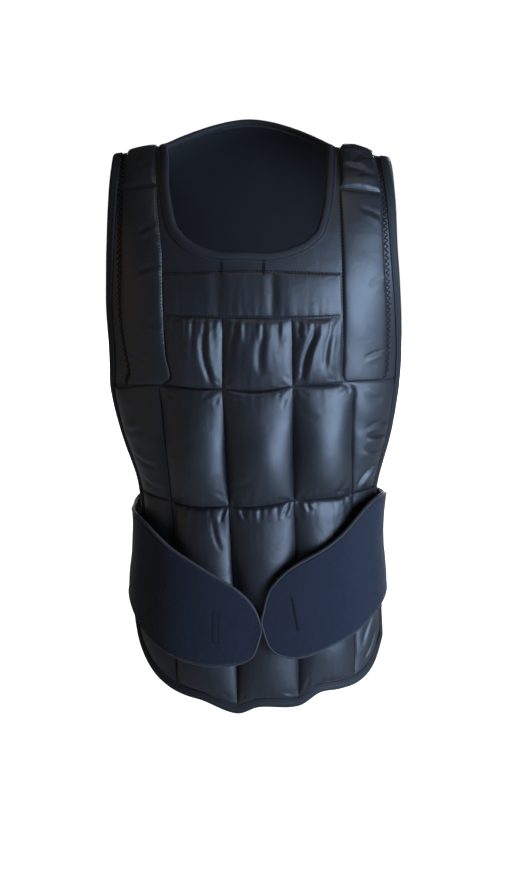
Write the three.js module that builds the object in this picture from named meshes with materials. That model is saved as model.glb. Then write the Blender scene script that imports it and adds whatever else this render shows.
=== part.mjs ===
// A long weighted vest as it hangs on a wearer. A front and a back panel meet over the shoulders,
// filled pockets are sewn on both, folded tape binds every edge, and two belt wings grow from the
// back panel's sides and close over the front. Millimetres, +Z up, the front faces -Y, and the
// origin lies on the body between the two shoulder straps.
import * as THREE from "three";

// Overall sizes of the body that fills the vest
const torsoHalfWidth = 166; // at the armpits
const chestDepth = 114; // from the middle plane to the breastbone
const backDepth = 106; // from the middle plane to the shoulder blades
const sectionRoundness = 2.15; // exponent of the body's oval sections, 2 is an ellipse
const shoulderDrop = 165; // height over which a strap curves from upright to the shoulder ridge
const ridgeBack = 5; // how far behind the middle plane the shoulder ridge lies
const shoulderSlope = 0.21; // fall of the ridge per millimetre outwards
const napeBack = 60; // how far the nape lies behind the ridge

// Overall sizes of the vest
const vestLength = 590; // from the shoulder ridge to the lowest point of the hem
const panelHalfWidth = 148; // from the middle to a side edge at the chest
const neckDepth = 116; // from the ridge to the bottom of the front neckline
const neckHalfWidth = 83;
const neckShift = -8; // the worn neckline sits a little towards the wearer's right
const panelThickness = 3.2;
const clothThickness = 1.4; // a pocket's cloth at its seams
const layerGap = 0.4; // between layers that lie on each other
const extraLift = 0.35; // more of it where a layer bends most
const seamGroove = 2.6; // width of the stitched valley between neighbouring pockets
const bindingWidth = 9;
const bindingTape = 1.2; // thickness of the folded tape
const tapeGap = 0.65; // between the tape and the panel inside it
const pocketMargin = 10.6; // from a panel's edge to the pockets
const wingThickness = 3.6;
const wingClearance = 1.9; // between the wings and the fullest thing under them
const pipingWidth = 2.4;
const pipingLip = 0.5; // how far the piping stands above and below a wing
const tabReach = 61; // how far a shoulder tab comes down from the ridge

// How far the filled pockets stand above their seams
const chestBandCrest = 3.4;
const upperPocketCrest = 9;
const middlePocketCrest = 19;
const lowerPocketCrest = 15;
const sidePocketCrest = 6;
const strapPocketCrest = 5;
const backPocketCrest = 14;
const leftTabCrest = 4;
const rightTabCrest = 11;

// Body sections: how far down they lie as a share of vestLength, and their half width, front
// depth, back depth and sideways lean as shares of torsoHalfWidth, chestDepth and backDepth
const torsoSections = [
  { down: 0.0, width: 1.14, front: 0.98, back: 0.98, lean: 0 },
  { down: 0.17, width: 1.07, front: 0.98, back: 1.0, lean: 0 },
  { down: 0.28, width: 1.0, front: 1.0, back: 1.0, lean: 0 },
  { down: 0.39, width: 0.964, front: 0.99, back: 0.96, lean: 0 },
  { down: 0.51, width: 0.875, front: 0.947, back: 0.895, lean: 0.012 },
  { down: 0.585, width: 0.79, front: 0.91, back: 0.84, lean: 0.02 },
  { down: 0.63, width: 0.768, front: 0.886, back: 0.815, lean: 0.02 },
  { down: 0.68, width: 0.755, front: 0.877, back: 0.815, lean: 0.02 },
  { down: 0.73, width: 0.76, front: 0.877, back: 0.84, lean: 0.02 },
  { down: 0.78, width: 0.777, front: 0.886, back: 0.875, lean: 0.02 },
  { down: 0.83, width: 0.79, front: 0.893, back: 0.91, lean: 0.02 },
  { down: 0.89, width: 0.812, front: 0.9, back: 0.95, lean: 0.018 },
  { down: 1.02, width: 0.83, front: 0.895, back: 0.99, lean: 0.012 },
];

// Long seams of the front panel as shares of panelHalfWidth: the side edges, the straps' outer
// seams, the outer seams and the inner seams, each on the left (the wearer's right) and the
// right. Above the neckline the inner ones are the neck's own edge.
const seamOrder = ["edgeL", "strapL", "outerL", "innerL", "innerR", "outerR", "strapR", "edgeR"];
const seamRow = ([down, ...places]) =>
  Object.fromEntries([["down", down], ...seamOrder.map((name, k) => [name, places[k]])]);
const frontSeams = [
  [0.0, -0.987, -0.9, -0.69, -0.622, 0.507, 0.575, 0.82, 0.915],
  [0.052, -0.987, -0.9, -0.675, -0.601, 0.503, 0.58, 0.845, 0.932],
  [0.103, -0.992, -0.9, -0.66, -0.588, 0.497, 0.584, 0.872, 0.955],
  [0.131, -0.993, -0.9, -0.65, -0.567, 0.486, 0.59, 0.88, 0.963],
  [0.156, -0.995, -0.9, -0.635, -0.537, 0.46, 0.596, 0.884, 0.969],
  [0.171, -0.996, -0.9, -0.625, -0.5, 0.425, 0.6, 0.887, 0.973],
  [0.183, -0.997, -0.9, -0.618, -0.43, 0.35, 0.602, 0.89, 0.976],
  [0.191, -0.998, -0.9, -0.612, -0.33, 0.235, 0.604, 0.893, 0.979],
  [0.197, -0.999, -0.9, -0.61, -0.23, 0.15, 0.605, 0.895, 0.981],
  [0.216, -1.0, -0.9, -0.607, -0.205, 0.235, 0.607, 0.9, 0.988],
  [0.263, -1.005, -0.9, -0.6, -0.196, 0.27, 0.615, 0.913, 1.003],
  [0.325, -0.993, -0.87, -0.585, -0.196, 0.276, 0.62, 0.914, 1.012],
  [0.368, -0.99, -0.84, -0.56, -0.197, 0.279, 0.622, 0.906, 1.008],
  [0.384, -0.992, -0.86, -0.63, -0.198, 0.28, 0.69, 0.88, 1.004],
  [0.415, -0.99, -0.86, -0.622, -0.192, 0.28, 0.686, 0.88, 0.994],
  [0.49, -0.93, -0.8, -0.6, -0.178, 0.284, 0.682, 0.84, 0.95],
  [0.59, -0.812, -0.7, -0.565, -0.16, 0.289, 0.69, 0.77, 0.858],
  [0.68, -0.785, -0.68, -0.55, -0.145, 0.3, 0.69, 0.75, 0.828],
  [0.76, -0.808, -0.7, -0.55, -0.125, 0.312, 0.7, 0.765, 0.85],
  [0.85, -0.855, -0.74, -0.545, -0.106, 0.326, 0.715, 0.8, 0.9],
  [1.0, -0.87, -0.75, -0.53, -0.104, 0.33, 0.72, 0.815, 0.925],
].map(seamRow);
const backSeams = [
  [0.0, -0.987, -0.9, -0.69, -0.622, 0.507, 0.575, 0.82, 0.915],
  [0.103, -0.992, -0.9, -0.66, -0.45, 0.4, 0.6, 0.865, 0.955],
  [0.2, -1.0, -0.9, -0.62, -0.24, 0.25, 0.62, 0.9, 0.985],
  [0.38, -0.99, -0.87, -0.61, -0.23, 0.24, 0.63, 0.88, 1.004],
  [0.49, -0.93, -0.8, -0.59, -0.22, 0.24, 0.62, 0.83, 0.95],
  [0.59, -0.812, -0.69, -0.55, -0.21, 0.24, 0.585, 0.73, 0.858],
  [0.68, -0.785, -0.665, -0.53, -0.2, 0.24, 0.57, 0.705, 0.828],
  [0.76, -0.808, -0.685, -0.53, -0.2, 0.24, 0.57, 0.725, 0.85],
  [0.85, -0.855, -0.73, -0.54, -0.2, 0.24, 0.58, 0.77, 0.9],
  [1.0, -0.87, -0.745, -0.54, -0.2, 0.24, 0.58, 0.79, 0.925],
].map(seamRow);
const cellsBetween = [1, 2, 4, 5, 4, 2, 1]; // cells of the net from one long seam to the next

// Cross seams and hem: shares of vestLength along the panel's width, -1 and 1 being its side
// edges. The filled pockets pull the front hem into a wave.
const frontLevels = [
  { across: -1.0, band: 0.216, gathers: 0.263, chest: 0.408, waist: 0.606, hem: 0.857 },
  { across: -0.93, band: 0.216, gathers: 0.263, chest: 0.401, waist: 0.606, hem: 0.906 },
  { across: -0.82, band: 0.216, gathers: 0.263, chest: 0.392, waist: 0.606, hem: 0.942 },
  { across: -0.69, band: 0.216, gathers: 0.263, chest: 0.384, waist: 0.606, hem: 0.962 },
  { across: -0.55, band: 0.216, gathers: 0.263, chest: 0.38, waist: 0.606, hem: 0.972 },
  { across: -0.4, band: 0.216, gathers: 0.263, chest: 0.38, waist: 0.604, hem: 0.977 },
  { across: -0.12, band: 0.215, gathers: 0.263, chest: 0.38, waist: 0.6, hem: 0.997 },
  { across: 0.05, band: 0.214, gathers: 0.263, chest: 0.381, waist: 0.597, hem: 0.983 },
  { across: 0.36, band: 0.213, gathers: 0.263, chest: 0.373, waist: 0.589, hem: 0.983 },
  { across: 0.52, band: 0.213, gathers: 0.263, chest: 0.373, waist: 0.587, hem: 0.961 },
  { across: 0.67, band: 0.213, gathers: 0.263, chest: 0.374, waist: 0.59, hem: 0.961 },
  { across: 0.82, band: 0.213, gathers: 0.263, chest: 0.379, waist: 0.592, hem: 0.957 },
  { across: 0.93, band: 0.213, gathers: 0.263, chest: 0.385, waist: 0.594, hem: 0.937 },
  { across: 1.0, band: 0.213, gathers: 0.263, chest: 0.39, waist: 0.595, hem: 0.897 },
];
const backLevels = [
  { across: -1.0, band: 0.2, gathers: 0.25, chest: 0.4, waist: 0.6, hem: 0.857 },
  { across: -0.82, band: 0.2, gathers: 0.25, chest: 0.395, waist: 0.6, hem: 0.945 },
  { across: -0.55, band: 0.2, gathers: 0.25, chest: 0.39, waist: 0.6, hem: 0.975 },
  { across: 0.0, band: 0.2, gathers: 0.25, chest: 0.39, waist: 0.6, hem: 0.985 },
  { across: 0.55, band: 0.2, gathers: 0.25, chest: 0.39, waist: 0.6, hem: 0.975 },
  { across: 0.82, band: 0.2, gathers: 0.25, chest: 0.395, waist: 0.6, hem: 0.95 },
  { across: 1.0, band: 0.2, gathers: 0.25, chest: 0.4, waist: 0.6, hem: 0.88 },
];
// The net's rows from one level to the next, as shares of the way
const levelOrder = ["neck", "band", "gathers", "chest", "waist", "hem"];
const rowShares = {
  strap: [0, 0.26, tabReach / neckDepth, 0.664, 0.793, 0.87, 0.93, 0.973],
  neck: [0],
  band: [0],
  gathers: [0, 0.5, 0.91],
  chest: [0, 0.25, 0.5, 0.75],
  waist: [0, 0.16, 0.34, 0.52, 0.7, 0.86, 1],
};

// Outlines of the belt wings from tip to root: the angle round the body from the middle of the
// front, and the top and bottom edges as shares of vestLength
const leftWing = [
  { round: 2, top: 0.802, bottom: 0.84 },
  { round: -0.5, top: 0.781, bottom: 0.868 },
  { round: -4, top: 0.764, bottom: 0.882 },
  { round: -12, top: 0.739, bottom: 0.892 },
  { round: -22, top: 0.72, bottom: 0.8955 },
  { round: -33, top: 0.699, bottom: 0.894 },
  { round: -44, top: 0.678, bottom: 0.884 },
  { round: -52, top: 0.66, bottom: 0.872 },
  { round: -60, top: 0.649, bottom: 0.856 },
  { round: -68, top: 0.645, bottom: 0.836 },
  { round: -76, top: 0.648, bottom: 0.822 },
  { round: -84, top: 0.655, bottom: 0.815 },
  { round: -94, top: 0.66, bottom: 0.812 },
  { round: -105, top: 0.66, bottom: 0.81 },
  { round: -116, top: 0.657, bottom: 0.809 },
  { round: -125, top: 0.655, bottom: 0.808 },
];
const rightWing = [
  { round: 5.4, top: 0.786, bottom: 0.825 },
  { round: 7.8, top: 0.752, bottom: 0.852 },
  { round: 12, top: 0.727, bottom: 0.869 },
  { round: 20, top: 0.7, bottom: 0.88 },
  { round: 28, top: 0.686, bottom: 0.875 },
  { round: 36, top: 0.672, bottom: 0.865 },
  { round: 44, top: 0.651, bottom: 0.855 },
  { round: 52, top: 0.622, bottom: 0.846 },
  { round: 60, top: 0.602, bottom: 0.834 },
  { round: 68, top: 0.6, bottom: 0.818 },
  { round: 76, top: 0.61, bottom: 0.81 },
  { round: 84, top: 0.624, bottom: 0.808 },
  { round: 94, top: 0.637, bottom: 0.807 },
  { round: 105, top: 0.646, bottom: 0.807 },
  { round: 116, top: 0.652, bottom: 0.808 },
  { round: 125, top: 0.655, bottom: 0.808 },
];
const wingRows = [0, 0.25, 0.5, 0.75, 1];
const rimWidth = layerGap + pipingWidth;
// How far a wing stands off the body round it, from the bound edge (0) to the filled pockets
// (1). Its root comes down onto the back panel.
const wingOverPockets = [
  { round: 0, share: 1 },
  { round: 44, share: 1 },
  { round: 52, share: 0.84 },
  { round: 60, share: 0.6 },
  { round: 68, share: 0.42 },
  { round: 74, share: 0.26 },
  { round: 80, share: 0.09 },
  { round: 84, share: -0.02 },
  { round: 90, share: -0.11 },
  { round: 97, share: -0.03 },
  { round: 104, share: 0.12 },
  { round: 110, share: 0.1 },
  { round: 116, share: -0.04 },
  { round: 125, share: -0.18 },
];

const nylon = new THREE.MeshStandardMaterial({ color: 0x17191f, roughness: 0.42, metalness: 0 });
const lining = new THREE.MeshStandardMaterial({ color: 0x101114, roughness: 0.8, metalness: 0 });
const tape = new THREE.MeshStandardMaterial({ color: 0x0b0c0f, roughness: 0.75, metalness: 0 });
const beltCloth = new THREE.MeshStandardMaterial({ color: 0x161b28, roughness: 0.9, metalness: 0 });

// One column of a table at a place between its rows, on a smooth curve through them
function read(table, key, column, place) {
  let i = table.findIndex((row) => row[key] > place) - 1;
  if (i === -2) i = table.length - 2;
  i = Math.max(i, 0);
  const [p, q] = [table[i], table[i + 1]];
  const before = table[Math.max(i - 1, 0)];
  const after = table[Math.min(i + 2, table.length - 1)];
  const step = q[key] - p[key];
  const f = THREE.MathUtils.clamp((place - p[key]) / step, 0, 1);
  const leave = ((q[column] - before[column]) / (q[key] - before[key])) * step;
  const arrive = ((after[column] - p[column]) / (after[key] - p[key])) * step;
  return (
    p[column] * (2 * f ** 3 - 3 * f ** 2 + 1) +
    q[column] * (3 * f ** 2 - 2 * f ** 3) +
    leave * (f ** 3 - 2 * f ** 2 + f) +
    arrive * (f ** 3 - f ** 2)
  );
}

function section(down, face) {
  const at = down / vestLength;
  return {
    width: torsoHalfWidth * read(torsoSections, "down", "width", at),
    lean: torsoHalfWidth * read(torsoSections, "down", "lean", at),
    depth:
      face < 0
        ? chestDepth * read(torsoSections, "down", "front", at)
        : backDepth * read(torsoSections, "down", "back", at),
  };
}

// A point of the body at x, so far down from the shoulder ridge, on the front (-1) or back (1)
function bodyPoint(x, down, face) {
  const { width, lean, depth } = section(down, face);
  const reach = Math.min(Math.abs(x - lean) / width, 0.999);
  const y = face * depth * (1 - reach ** sectionRoundness) ** (1 / sectionRoundness);
  if (down >= shoulderDrop) return new THREE.Vector3(x, y, -down);
  const turn = (down / shoulderDrop) * (Math.PI / 2);
  const inward = Math.min(Math.abs(x - neckShift) / neckHalfWidth, 1);
  const nape = face > 0 ? napeBack * (1 - inward ** 2.2) : 0;
  const ridge = ridgeBack + nape;
  const fall = shoulderSlope * (neckHalfWidth - Math.abs(x - neckShift)) * Math.cos(turn);
  const z = fall - shoulderDrop * (1 - Math.cos(turn));
  return new THREE.Vector3(x, ridge + (y - ridge) * Math.sin(turn), z);
}

function bodyNormal(x, down, face) {
  const step = 0.5;
  const alongX = bodyPoint(x + step, down, face).sub(bodyPoint(x - step, down, face));
  const low = Math.max(down - step, 0);
  const alongDown = bodyPoint(x, down + step, face).sub(bodyPoint(x, low, face));
  return alongDown.cross(alongX).multiplyScalar(-face).normalize();
}

// A point of the body below the arms at an angle round it from the middle of the front
function bodyAround(round, down) {
  const angle = THREE.MathUtils.degToRad(round);
  const { width, lean, depth } = section(down, Math.cos(angle) > 0 ? -1 : 1);
  const across = Math.abs(Math.sin(angle) / width) ** sectionRoundness;
  const along = Math.abs(Math.cos(angle) / depth) ** sectionRoundness;
  const radius = (across + along) ** (-1 / sectionRoundness);
  return new THREE.Vector3(lean + radius * Math.sin(angle), -radius * Math.cos(angle), -down);
}

function aroundNormal(round, down) {
  const alongRound = bodyAround(round + 0.4, down).sub(bodyAround(round - 0.4, down));
  const alongDown = bodyAround(round, down + 0.5).sub(bodyAround(round, down - 0.5));
  return alongDown.cross(alongRound).normalize();
}

const raise = (p, t) => p.point.clone().addScaledVector(p.normal, t);
const mix = (p, q, f) => ({
  point: p.point.clone().lerp(q.point, f),
  normal: p.normal.clone().lerp(q.normal, f),
});

// Turns the faces outwards if they face in, and makes the geometry
function closedBody(points, index) {
  let volume = 0;
  for (let k = 0; k < index.length; k += 3) {
    const [a, b, c] = [points[index[k]], points[index[k + 1]], points[index[k + 2]]];
    volume += a.dot(b.clone().cross(c));
  }
  if (volume < 0)
    for (let k = 0; k < index.length; k += 3)
      [index[k + 1], index[k + 2]] = [index[k + 2], index[k + 1]];
  const position = points.flatMap((p) => [p.x, p.y, p.z]);
  return new THREE.BufferGeometry()
    .setAttribute("position", new THREE.Float32BufferAttribute(position, 3))
    .setIndex(index);
}

// A closed solid between an inner and an outer sheet of rows x columns points. Cells that
// keep() turns down are left open, and every free edge gets a side wall.
function solidBetween(inner, outer, keep = () => true) {
  const rows = inner.length;
  const columns = inner[0].length;
  const all = [...inner.flat(), ...outer.flat()];
  const index = [];
  const id = (i, j, layer) => layer * rows * columns + i * columns + j;
  const has = (i, j) => i >= 0 && j >= 0 && i < rows - 1 && j < columns - 1 && keep(i, j);
  const wall = (i, j, k, l) =>
    index.push(id(i, j, 0), id(k, l, 0), id(k, l, 1), id(i, j, 0), id(k, l, 1), id(i, j, 1));
  for (let i = 0; i < rows - 1; i++)
    for (let j = 0; j < columns - 1; j++) {
      if (!has(i, j)) continue;
      index.push(id(i, j, 1), id(i + 1, j, 1), id(i + 1, j + 1, 1));
      index.push(id(i, j, 1), id(i + 1, j + 1, 1), id(i, j + 1, 1));
      index.push(id(i, j, 0), id(i + 1, j + 1, 0), id(i + 1, j, 0));
      index.push(id(i, j, 0), id(i, j + 1, 0), id(i + 1, j + 1, 0));
      if (!has(i, j - 1)) wall(i, j, i + 1, j);
      if (!has(i, j + 1)) wall(i + 1, j + 1, i, j + 1);
      if (!has(i - 1, j)) wall(i, j + 1, i, j);
      if (!has(i + 1, j)) wall(i + 1, j, i + 1, j + 1);
    }
  const used = new Map();
  for (const v of index) if (!used.has(v)) used.set(v, used.size);
  return closedBody(
    [...used.keys()].map((v) => all[v]),
    index.map((v) => used.get(v)),
  );
}

// A closed loop of the same cross-section at every place. turned() says which of a stretch's
// four-sided faces are split the other way.
function loopBody(rings, turned = () => false) {
  const size = rings[0].length;
  const index = [];
  rings.forEach((_, k) => {
    const here = k * size;
    const next = ((k + 1) % rings.length) * size;
    for (let i = 0; i < size; i++) {
      const j = (i + 1) % size;
      if (turned(k, i)) index.push(here + i, here + j, next + i, here + j, next + j, next + i);
      else index.push(here + i, here + j, next + j, here + i, next + j, next + i);
    }
  });
  return closedBody(rings.flat(), index);
}

const stack = new THREE.Group();
function add(name, geometry, material) {
  const mesh = new THREE.Mesh(geometry, material);
  mesh.name = name;
  stack.add(mesh);
}

// A panel's net. Its columns follow the long seams and its rows the cross seams, so that every
// pocket is a block of whole cells and lies flat on the panel's facets.
function makePanel(face, seams, levels) {
  const columnsAt = (down) => {
    const at = seamOrder.map((n) => panelHalfWidth * read(seams, "down", n, down / vestLength));
    const places = [at[0]];
    cellsBetween.forEach((cells, k) => {
      for (let c = 1; c <= cells; c++) places.push(at[k] + ((at[k + 1] - at[k]) * c) / cells);
    });
    return places;
  };
  const count = columnsAt(0).length;
  // How deep a level lies in a column, found by settling on the column's place at that depth
  const levelDepth = (name, j) => {
    if (name === "neck") return neckDepth;
    let down = vestLength * read(levels, "across", name, 0);
    for (let k = 0; k < 4; k++) {
      const places = columnsAt(down);
      const edge = places[j] < 0 ? -places[0] : places[count - 1];
      down = vestLength * read(levels, "across", name, places[j] / edge);
    }
    return down;
  };
  const rows = [];
  for (const s of rowShares.strap) rows.push(() => Math.max(s * neckDepth, layerGap / 2));
  const firstRow = {};
  levelOrder.slice(0, -1).forEach((name, k) => {
    firstRow[name] = rows.length;
    for (const s of rowShares[name])
      rows.push((j) => {
        const from = levelDepth(name, j);
        return from + s * (levelDepth(levelOrder[k + 1], j) - from);
      });
  });
  firstRow.hem = rows.length - 1;
  const net = rows.map((depthAt) =>
    Array.from({ length: count }, (_, j) => {
      const down = depthAt(j);
      const x = columnsAt(down)[j];
      return { x, down, point: bodyPoint(x, down, face), normal: bodyNormal(x, down, face) };
    }),
  );
  const seamColumn = {};
  let column = 0;
  seamOrder.forEach((name, k) => {
    seamColumn[name] = column;
    column += cellsBetween[k] ?? 0;
  });
  // The place on the panel's facets at x and so far down
  const on = (x, down) => {
    for (let i = 0; i < net.length - 1; i++)
      for (let j = 0; j < count - 1; j++)
        for (const [a, b, c] of [
          [net[i][j], net[i + 1][j], net[i + 1][j + 1]],
          [net[i][j], net[i + 1][j + 1], net[i][j + 1]],
        ]) {
          const area = (b.x - a.x) * (c.down - a.down) - (c.x - a.x) * (b.down - a.down);
          const f = ((x - a.x) * (c.down - a.down) - (c.x - a.x) * (down - a.down)) / area;
          const g = ((b.x - a.x) * (down - a.down) - (x - a.x) * (b.down - a.down)) / area;
          if (f < -1e-6 || g < -1e-6 || f + g > 1 + 1e-6) continue;
          const point = a.point.clone().multiplyScalar(1 - f - g);
          const normal = a.normal.clone().multiplyScalar(1 - f - g);
          point.addScaledVector(b.point, f).addScaledVector(c.point, g);
          normal.addScaledVector(b.normal, f).addScaledVector(c.normal, g);
          return { point, normal };
        }
    return { point: bodyPoint(x, down, face), normal: bodyNormal(x, down, face) };
  };
  return { net, count, firstRow, seamColumn, on };
}

// A block of the net with each side drawn in by so many millimetres
function block(net, top, bottom, left, right, draw) {
  const cells = net.slice(top, bottom + 1).map((row) => row.slice(left, right + 1));
  const along = (p, q, mm) => mix(p, q, mm / p.point.distanceTo(q.point));
  for (const row of cells) {
    const end = row.length - 1;
    const sides = [along(row[0], row[1], draw.left), along(row[end], row[end - 1], draw.right)];
    [row[0], row[end]] = sides;
  }
  const end = cells.length - 1;
  const first = cells[0].map((p, j) => along(p, cells[1][j], draw.top));
  const last = cells[end].map((p, j) => along(p, cells[end - 1][j], draw.bottom));
  return [first, ...cells.slice(1, end), last];
}

// A filled pocket: flat on what it is sewn to, and rounded above it between its seams
function addPocket(name, cells, crest, lift = 0) {
  const under = panelThickness + layerGap + lift;
  const rise = (f) => Math.sqrt(Math.max(1 - (2 * f - 1) ** 2, 0));
  const inner = cells.map((row) => row.map((p) => raise(p, under)));
  const outer = cells.map((row, i) =>
    row.map((p, j) => {
      const fill = rise(i / (cells.length - 1)) ** 0.6 * rise(j / (row.length - 1)) ** 0.85;
      return raise(p, under + clothThickness + crest * fill);
    }),
  );
  add(name, solidBetween(inner, outer), nylon);
}

// Tape folded round an edge. Each place gives the edge, where the tape ends on the panel, and
// whether the panel's facet there is split from the edge (1) or towards it (-1).
function addBinding(name, places) {
  const far = tapeGap + bindingTape;
  const rings = places.map(({ edge, end }) => {
    const out = edge.point.clone().sub(end.point);
    out.addScaledVector(edge.normal, -out.dot(edge.normal) / edge.normal.lengthSq()).normalize();
    const rim = (away, t) => raise(edge, t).addScaledVector(out, away);
    return [
      raise(end, panelThickness + far),
      rim(far, panelThickness + far),
      rim(far, -far),
      raise(end, -far),
      raise(end, -tapeGap),
      rim(tapeGap, -tapeGap),
      rim(tapeGap, panelThickness + tapeGap),
      raise(end, panelThickness + tapeGap),
    ];
  });
  const turned = (k, i) => (i % 4 === 0 && places[k].split > 0) || (i % 4 === 2 && places[k].split < 0);
  add(name, loopBody(rings, turned), tape);
}

const front = makePanel(-1, frontSeams, frontLevels);
const back = makePanel(1, backSeams, backLevels);
const { firstRow, seamColumn, count } = front;
const lastRow = firstRow.hem;
const overNeck = (i, j) => i < firstRow.neck && j >= seamColumn.innerL && j < seamColumn.innerR;
const sheet = (panel, t) => panel.net.map((row) => row.map((p) => raise(p, t)));

add(
  "front_panel",
  solidBetween(sheet(front, 0), sheet(front, panelThickness), (i, j) => !overNeck(i, j)),
  lining,
);
add("back_panel", solidBetween(sheet(back, 0), sheet(back, panelThickness)), lining);

const groove = seamGroove / 2;
const drawn = { left: groove, right: groove, top: groove, bottom: groove };
function addBlock(name, panel, rows, columns, crest, draw = {}, lift = 0) {
  const [top, bottom] = rows.map((n) => (typeof n === "string" ? firstRow[n] : n));
  const [left, right] = columns.map((n) => seamColumn[n]);
  const cells = block(panel.net, top, bottom, left, right, { ...drawn, ...draw });
  addPocket(name, cells, crest, lift);
}

// The front: a chest band, three rows of columns, side pockets and the straps' pockets
const hemDraw = { bottom: pocketMargin };
const columnPlaces = [
  ["left", "outerL", "innerL"],
  ["centre", "innerL", "innerR"],
  ["right", "innerR", "outerR"],
];
addBlock("chest_band", front, ["band", "gathers"], ["outerL", "outerR"], chestBandCrest);
for (const [side, ...ends] of columnPlaces) {
  addBlock(`front_upper_pocket_${side}`, front, ["gathers", "chest"], ends, upperPocketCrest);
  addBlock(`front_middle_pocket_${side}`, front, ["chest", "waist"], ends, middlePocketCrest);
  addBlock(`front_lower_pocket_${side}`, front, ["waist", "hem"], ends, lowerPocketCrest, hemDraw);
}
const tabRow = rowShares.strap.indexOf(tabReach / neckDepth);
for (const [side, ...ends] of [
  ["left", "edgeL", "outerL"],
  ["right", "outerR", "edgeR"],
]) {
  const draw = { [side]: pocketMargin };
  const low = { ...draw, ...hemDraw };
  const crest = sidePocketCrest;
  addBlock(`side_pocket_${side}_upper`, front, ["chest", "waist"], ends, crest, draw, extraLift);
  addBlock(`side_pocket_${side}_lower`, front, ["waist", "hem"], ends, crest, low, extraLift);
}
addBlock("strap_pocket_left", front, [tabRow, "chest"], ["strapL", "outerL"], strapPocketCrest);
addBlock("strap_pocket_right", front, [tabRow, "chest"], ["outerR", "strapR"], strapPocketCrest);

// The back: three plain rows of columns below a yoke
for (const [side, ...ends] of columnPlaces) {
  addBlock(`back_upper_pocket_${side}`, back, ["band", "chest"], ends, backPocketCrest);
  addBlock(`back_middle_pocket_${side}`, back, ["chest", "waist"], ends, backPocketCrest);
  addBlock(`back_lower_pocket_${side}`, back, ["waist", "hem"], ends, backPocketCrest, hemDraw);
}

// Shoulder tabs run from the back over the ridge and end on the front
for (const [side, from, to, crest] of [
  ["left", "strapL", "outerL", leftTabCrest],
  ["right", "outerR", "strapR", rightTabCrest],
]) {
  const behind = back.net.slice(1, tabRow + 1).reverse();
  const net = [...behind, ...front.net.slice(0, tabRow + 1)];
  const cells = block(net, 0, net.length - 1, seamColumn[from], seamColumn[to], drawn);
  addPocket(`shoulder_tab_${side}`, cells, crest, extraLift);
}

// Tape round the outer edge: down the front, along its hem, up again, and the same on the back
function edgePlace(panel, i, j, split) {
  const { net } = panel;
  const inward = j === 0 ? 1 : j === count - 1 ? -1 : 0;
  const reach = (p, q) => mix(p, q, Math.min(bindingWidth / p.point.distanceTo(q.point), 1));
  const across = (row) => (inward ? reach(row[j], row[j + inward]) : row[j]);
  const edge = net[i][j];
  const end = i === lastRow ? reach(across(net[i]), across(net[i - 1])) : across(net[i]);
  return { edge, end, split };
}
const frontEdge = [];
for (let i = 0; i < lastRow; i++) frontEdge.push(edgePlace(front, i, 0, 1));
for (let j = 0; j < count - 1; j++) frontEdge.push(edgePlace(front, lastRow, j, -1));
for (let i = lastRow; i >= 0; i--) frontEdge.push(edgePlace(front, i, count - 1, 1));
const backEdge = [];
for (let i = 1; i < lastRow; i++) backEdge.push(edgePlace(back, i, count - 1, -1));
for (let j = count - 1; j > 0; j--) backEdge.push(edgePlace(back, lastRow, j, 1));
for (let i = lastRow; i >= 1; i--) backEdge.push(edgePlace(back, i, 0, -1));
addBinding("edge_binding", [...frontEdge, ...backEdge]);

// Tape round the neck: down the front's left side, along the bottom, up, and round the nape
const cornerTilts = [0.05, 0.12, 0.3, 0.6, 0.85]; // turn from sideways to down at its last rows
function neckPlace(i, j, side) {
  const edge = front.net[i][j];
  const tilt = (cornerTilts[i - firstRow.neck + cornerTilts.length - 1] ?? 0) * (Math.PI / 2);
  const x = edge.x + side * bindingWidth * Math.cos(tilt);
  return { edge, end: front.on(x, edge.down + bindingWidth * Math.sin(tilt)) };
}
const neckPlaces = [];
for (let i = 0; i <= firstRow.neck; i++) neckPlaces.push(neckPlace(i, seamColumn.innerL, -1));
for (let j = seamColumn.innerL + 1; j < seamColumn.innerR; j++) {
  const edge = front.net[firstRow.neck][j];
  neckPlaces.push({ edge, end: front.on(edge.x, edge.down + bindingWidth) });
}
for (let i = firstRow.neck; i >= 0; i--) neckPlaces.push(neckPlace(i, seamColumn.innerR, 1));
for (let j = seamColumn.innerR; j > seamColumn.innerL; j--)
  for (const f of j === seamColumn.innerR ? [0.1, 0.3, 0.6, 1] : [0.35, 0.7, 0.9, 1]) {
    if (j === seamColumn.innerL + 1 && f === 1) continue;
    const [p, q] = [back.net[0][j], back.net[0][j - 1]];
    const end = back.on(p.x + f * (q.x - p.x), bindingWidth);
    neckPlaces.push({ edge: mix(p, q, f), end, split: -1 });
  }
addBinding("neck_binding", neckPlaces);

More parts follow.
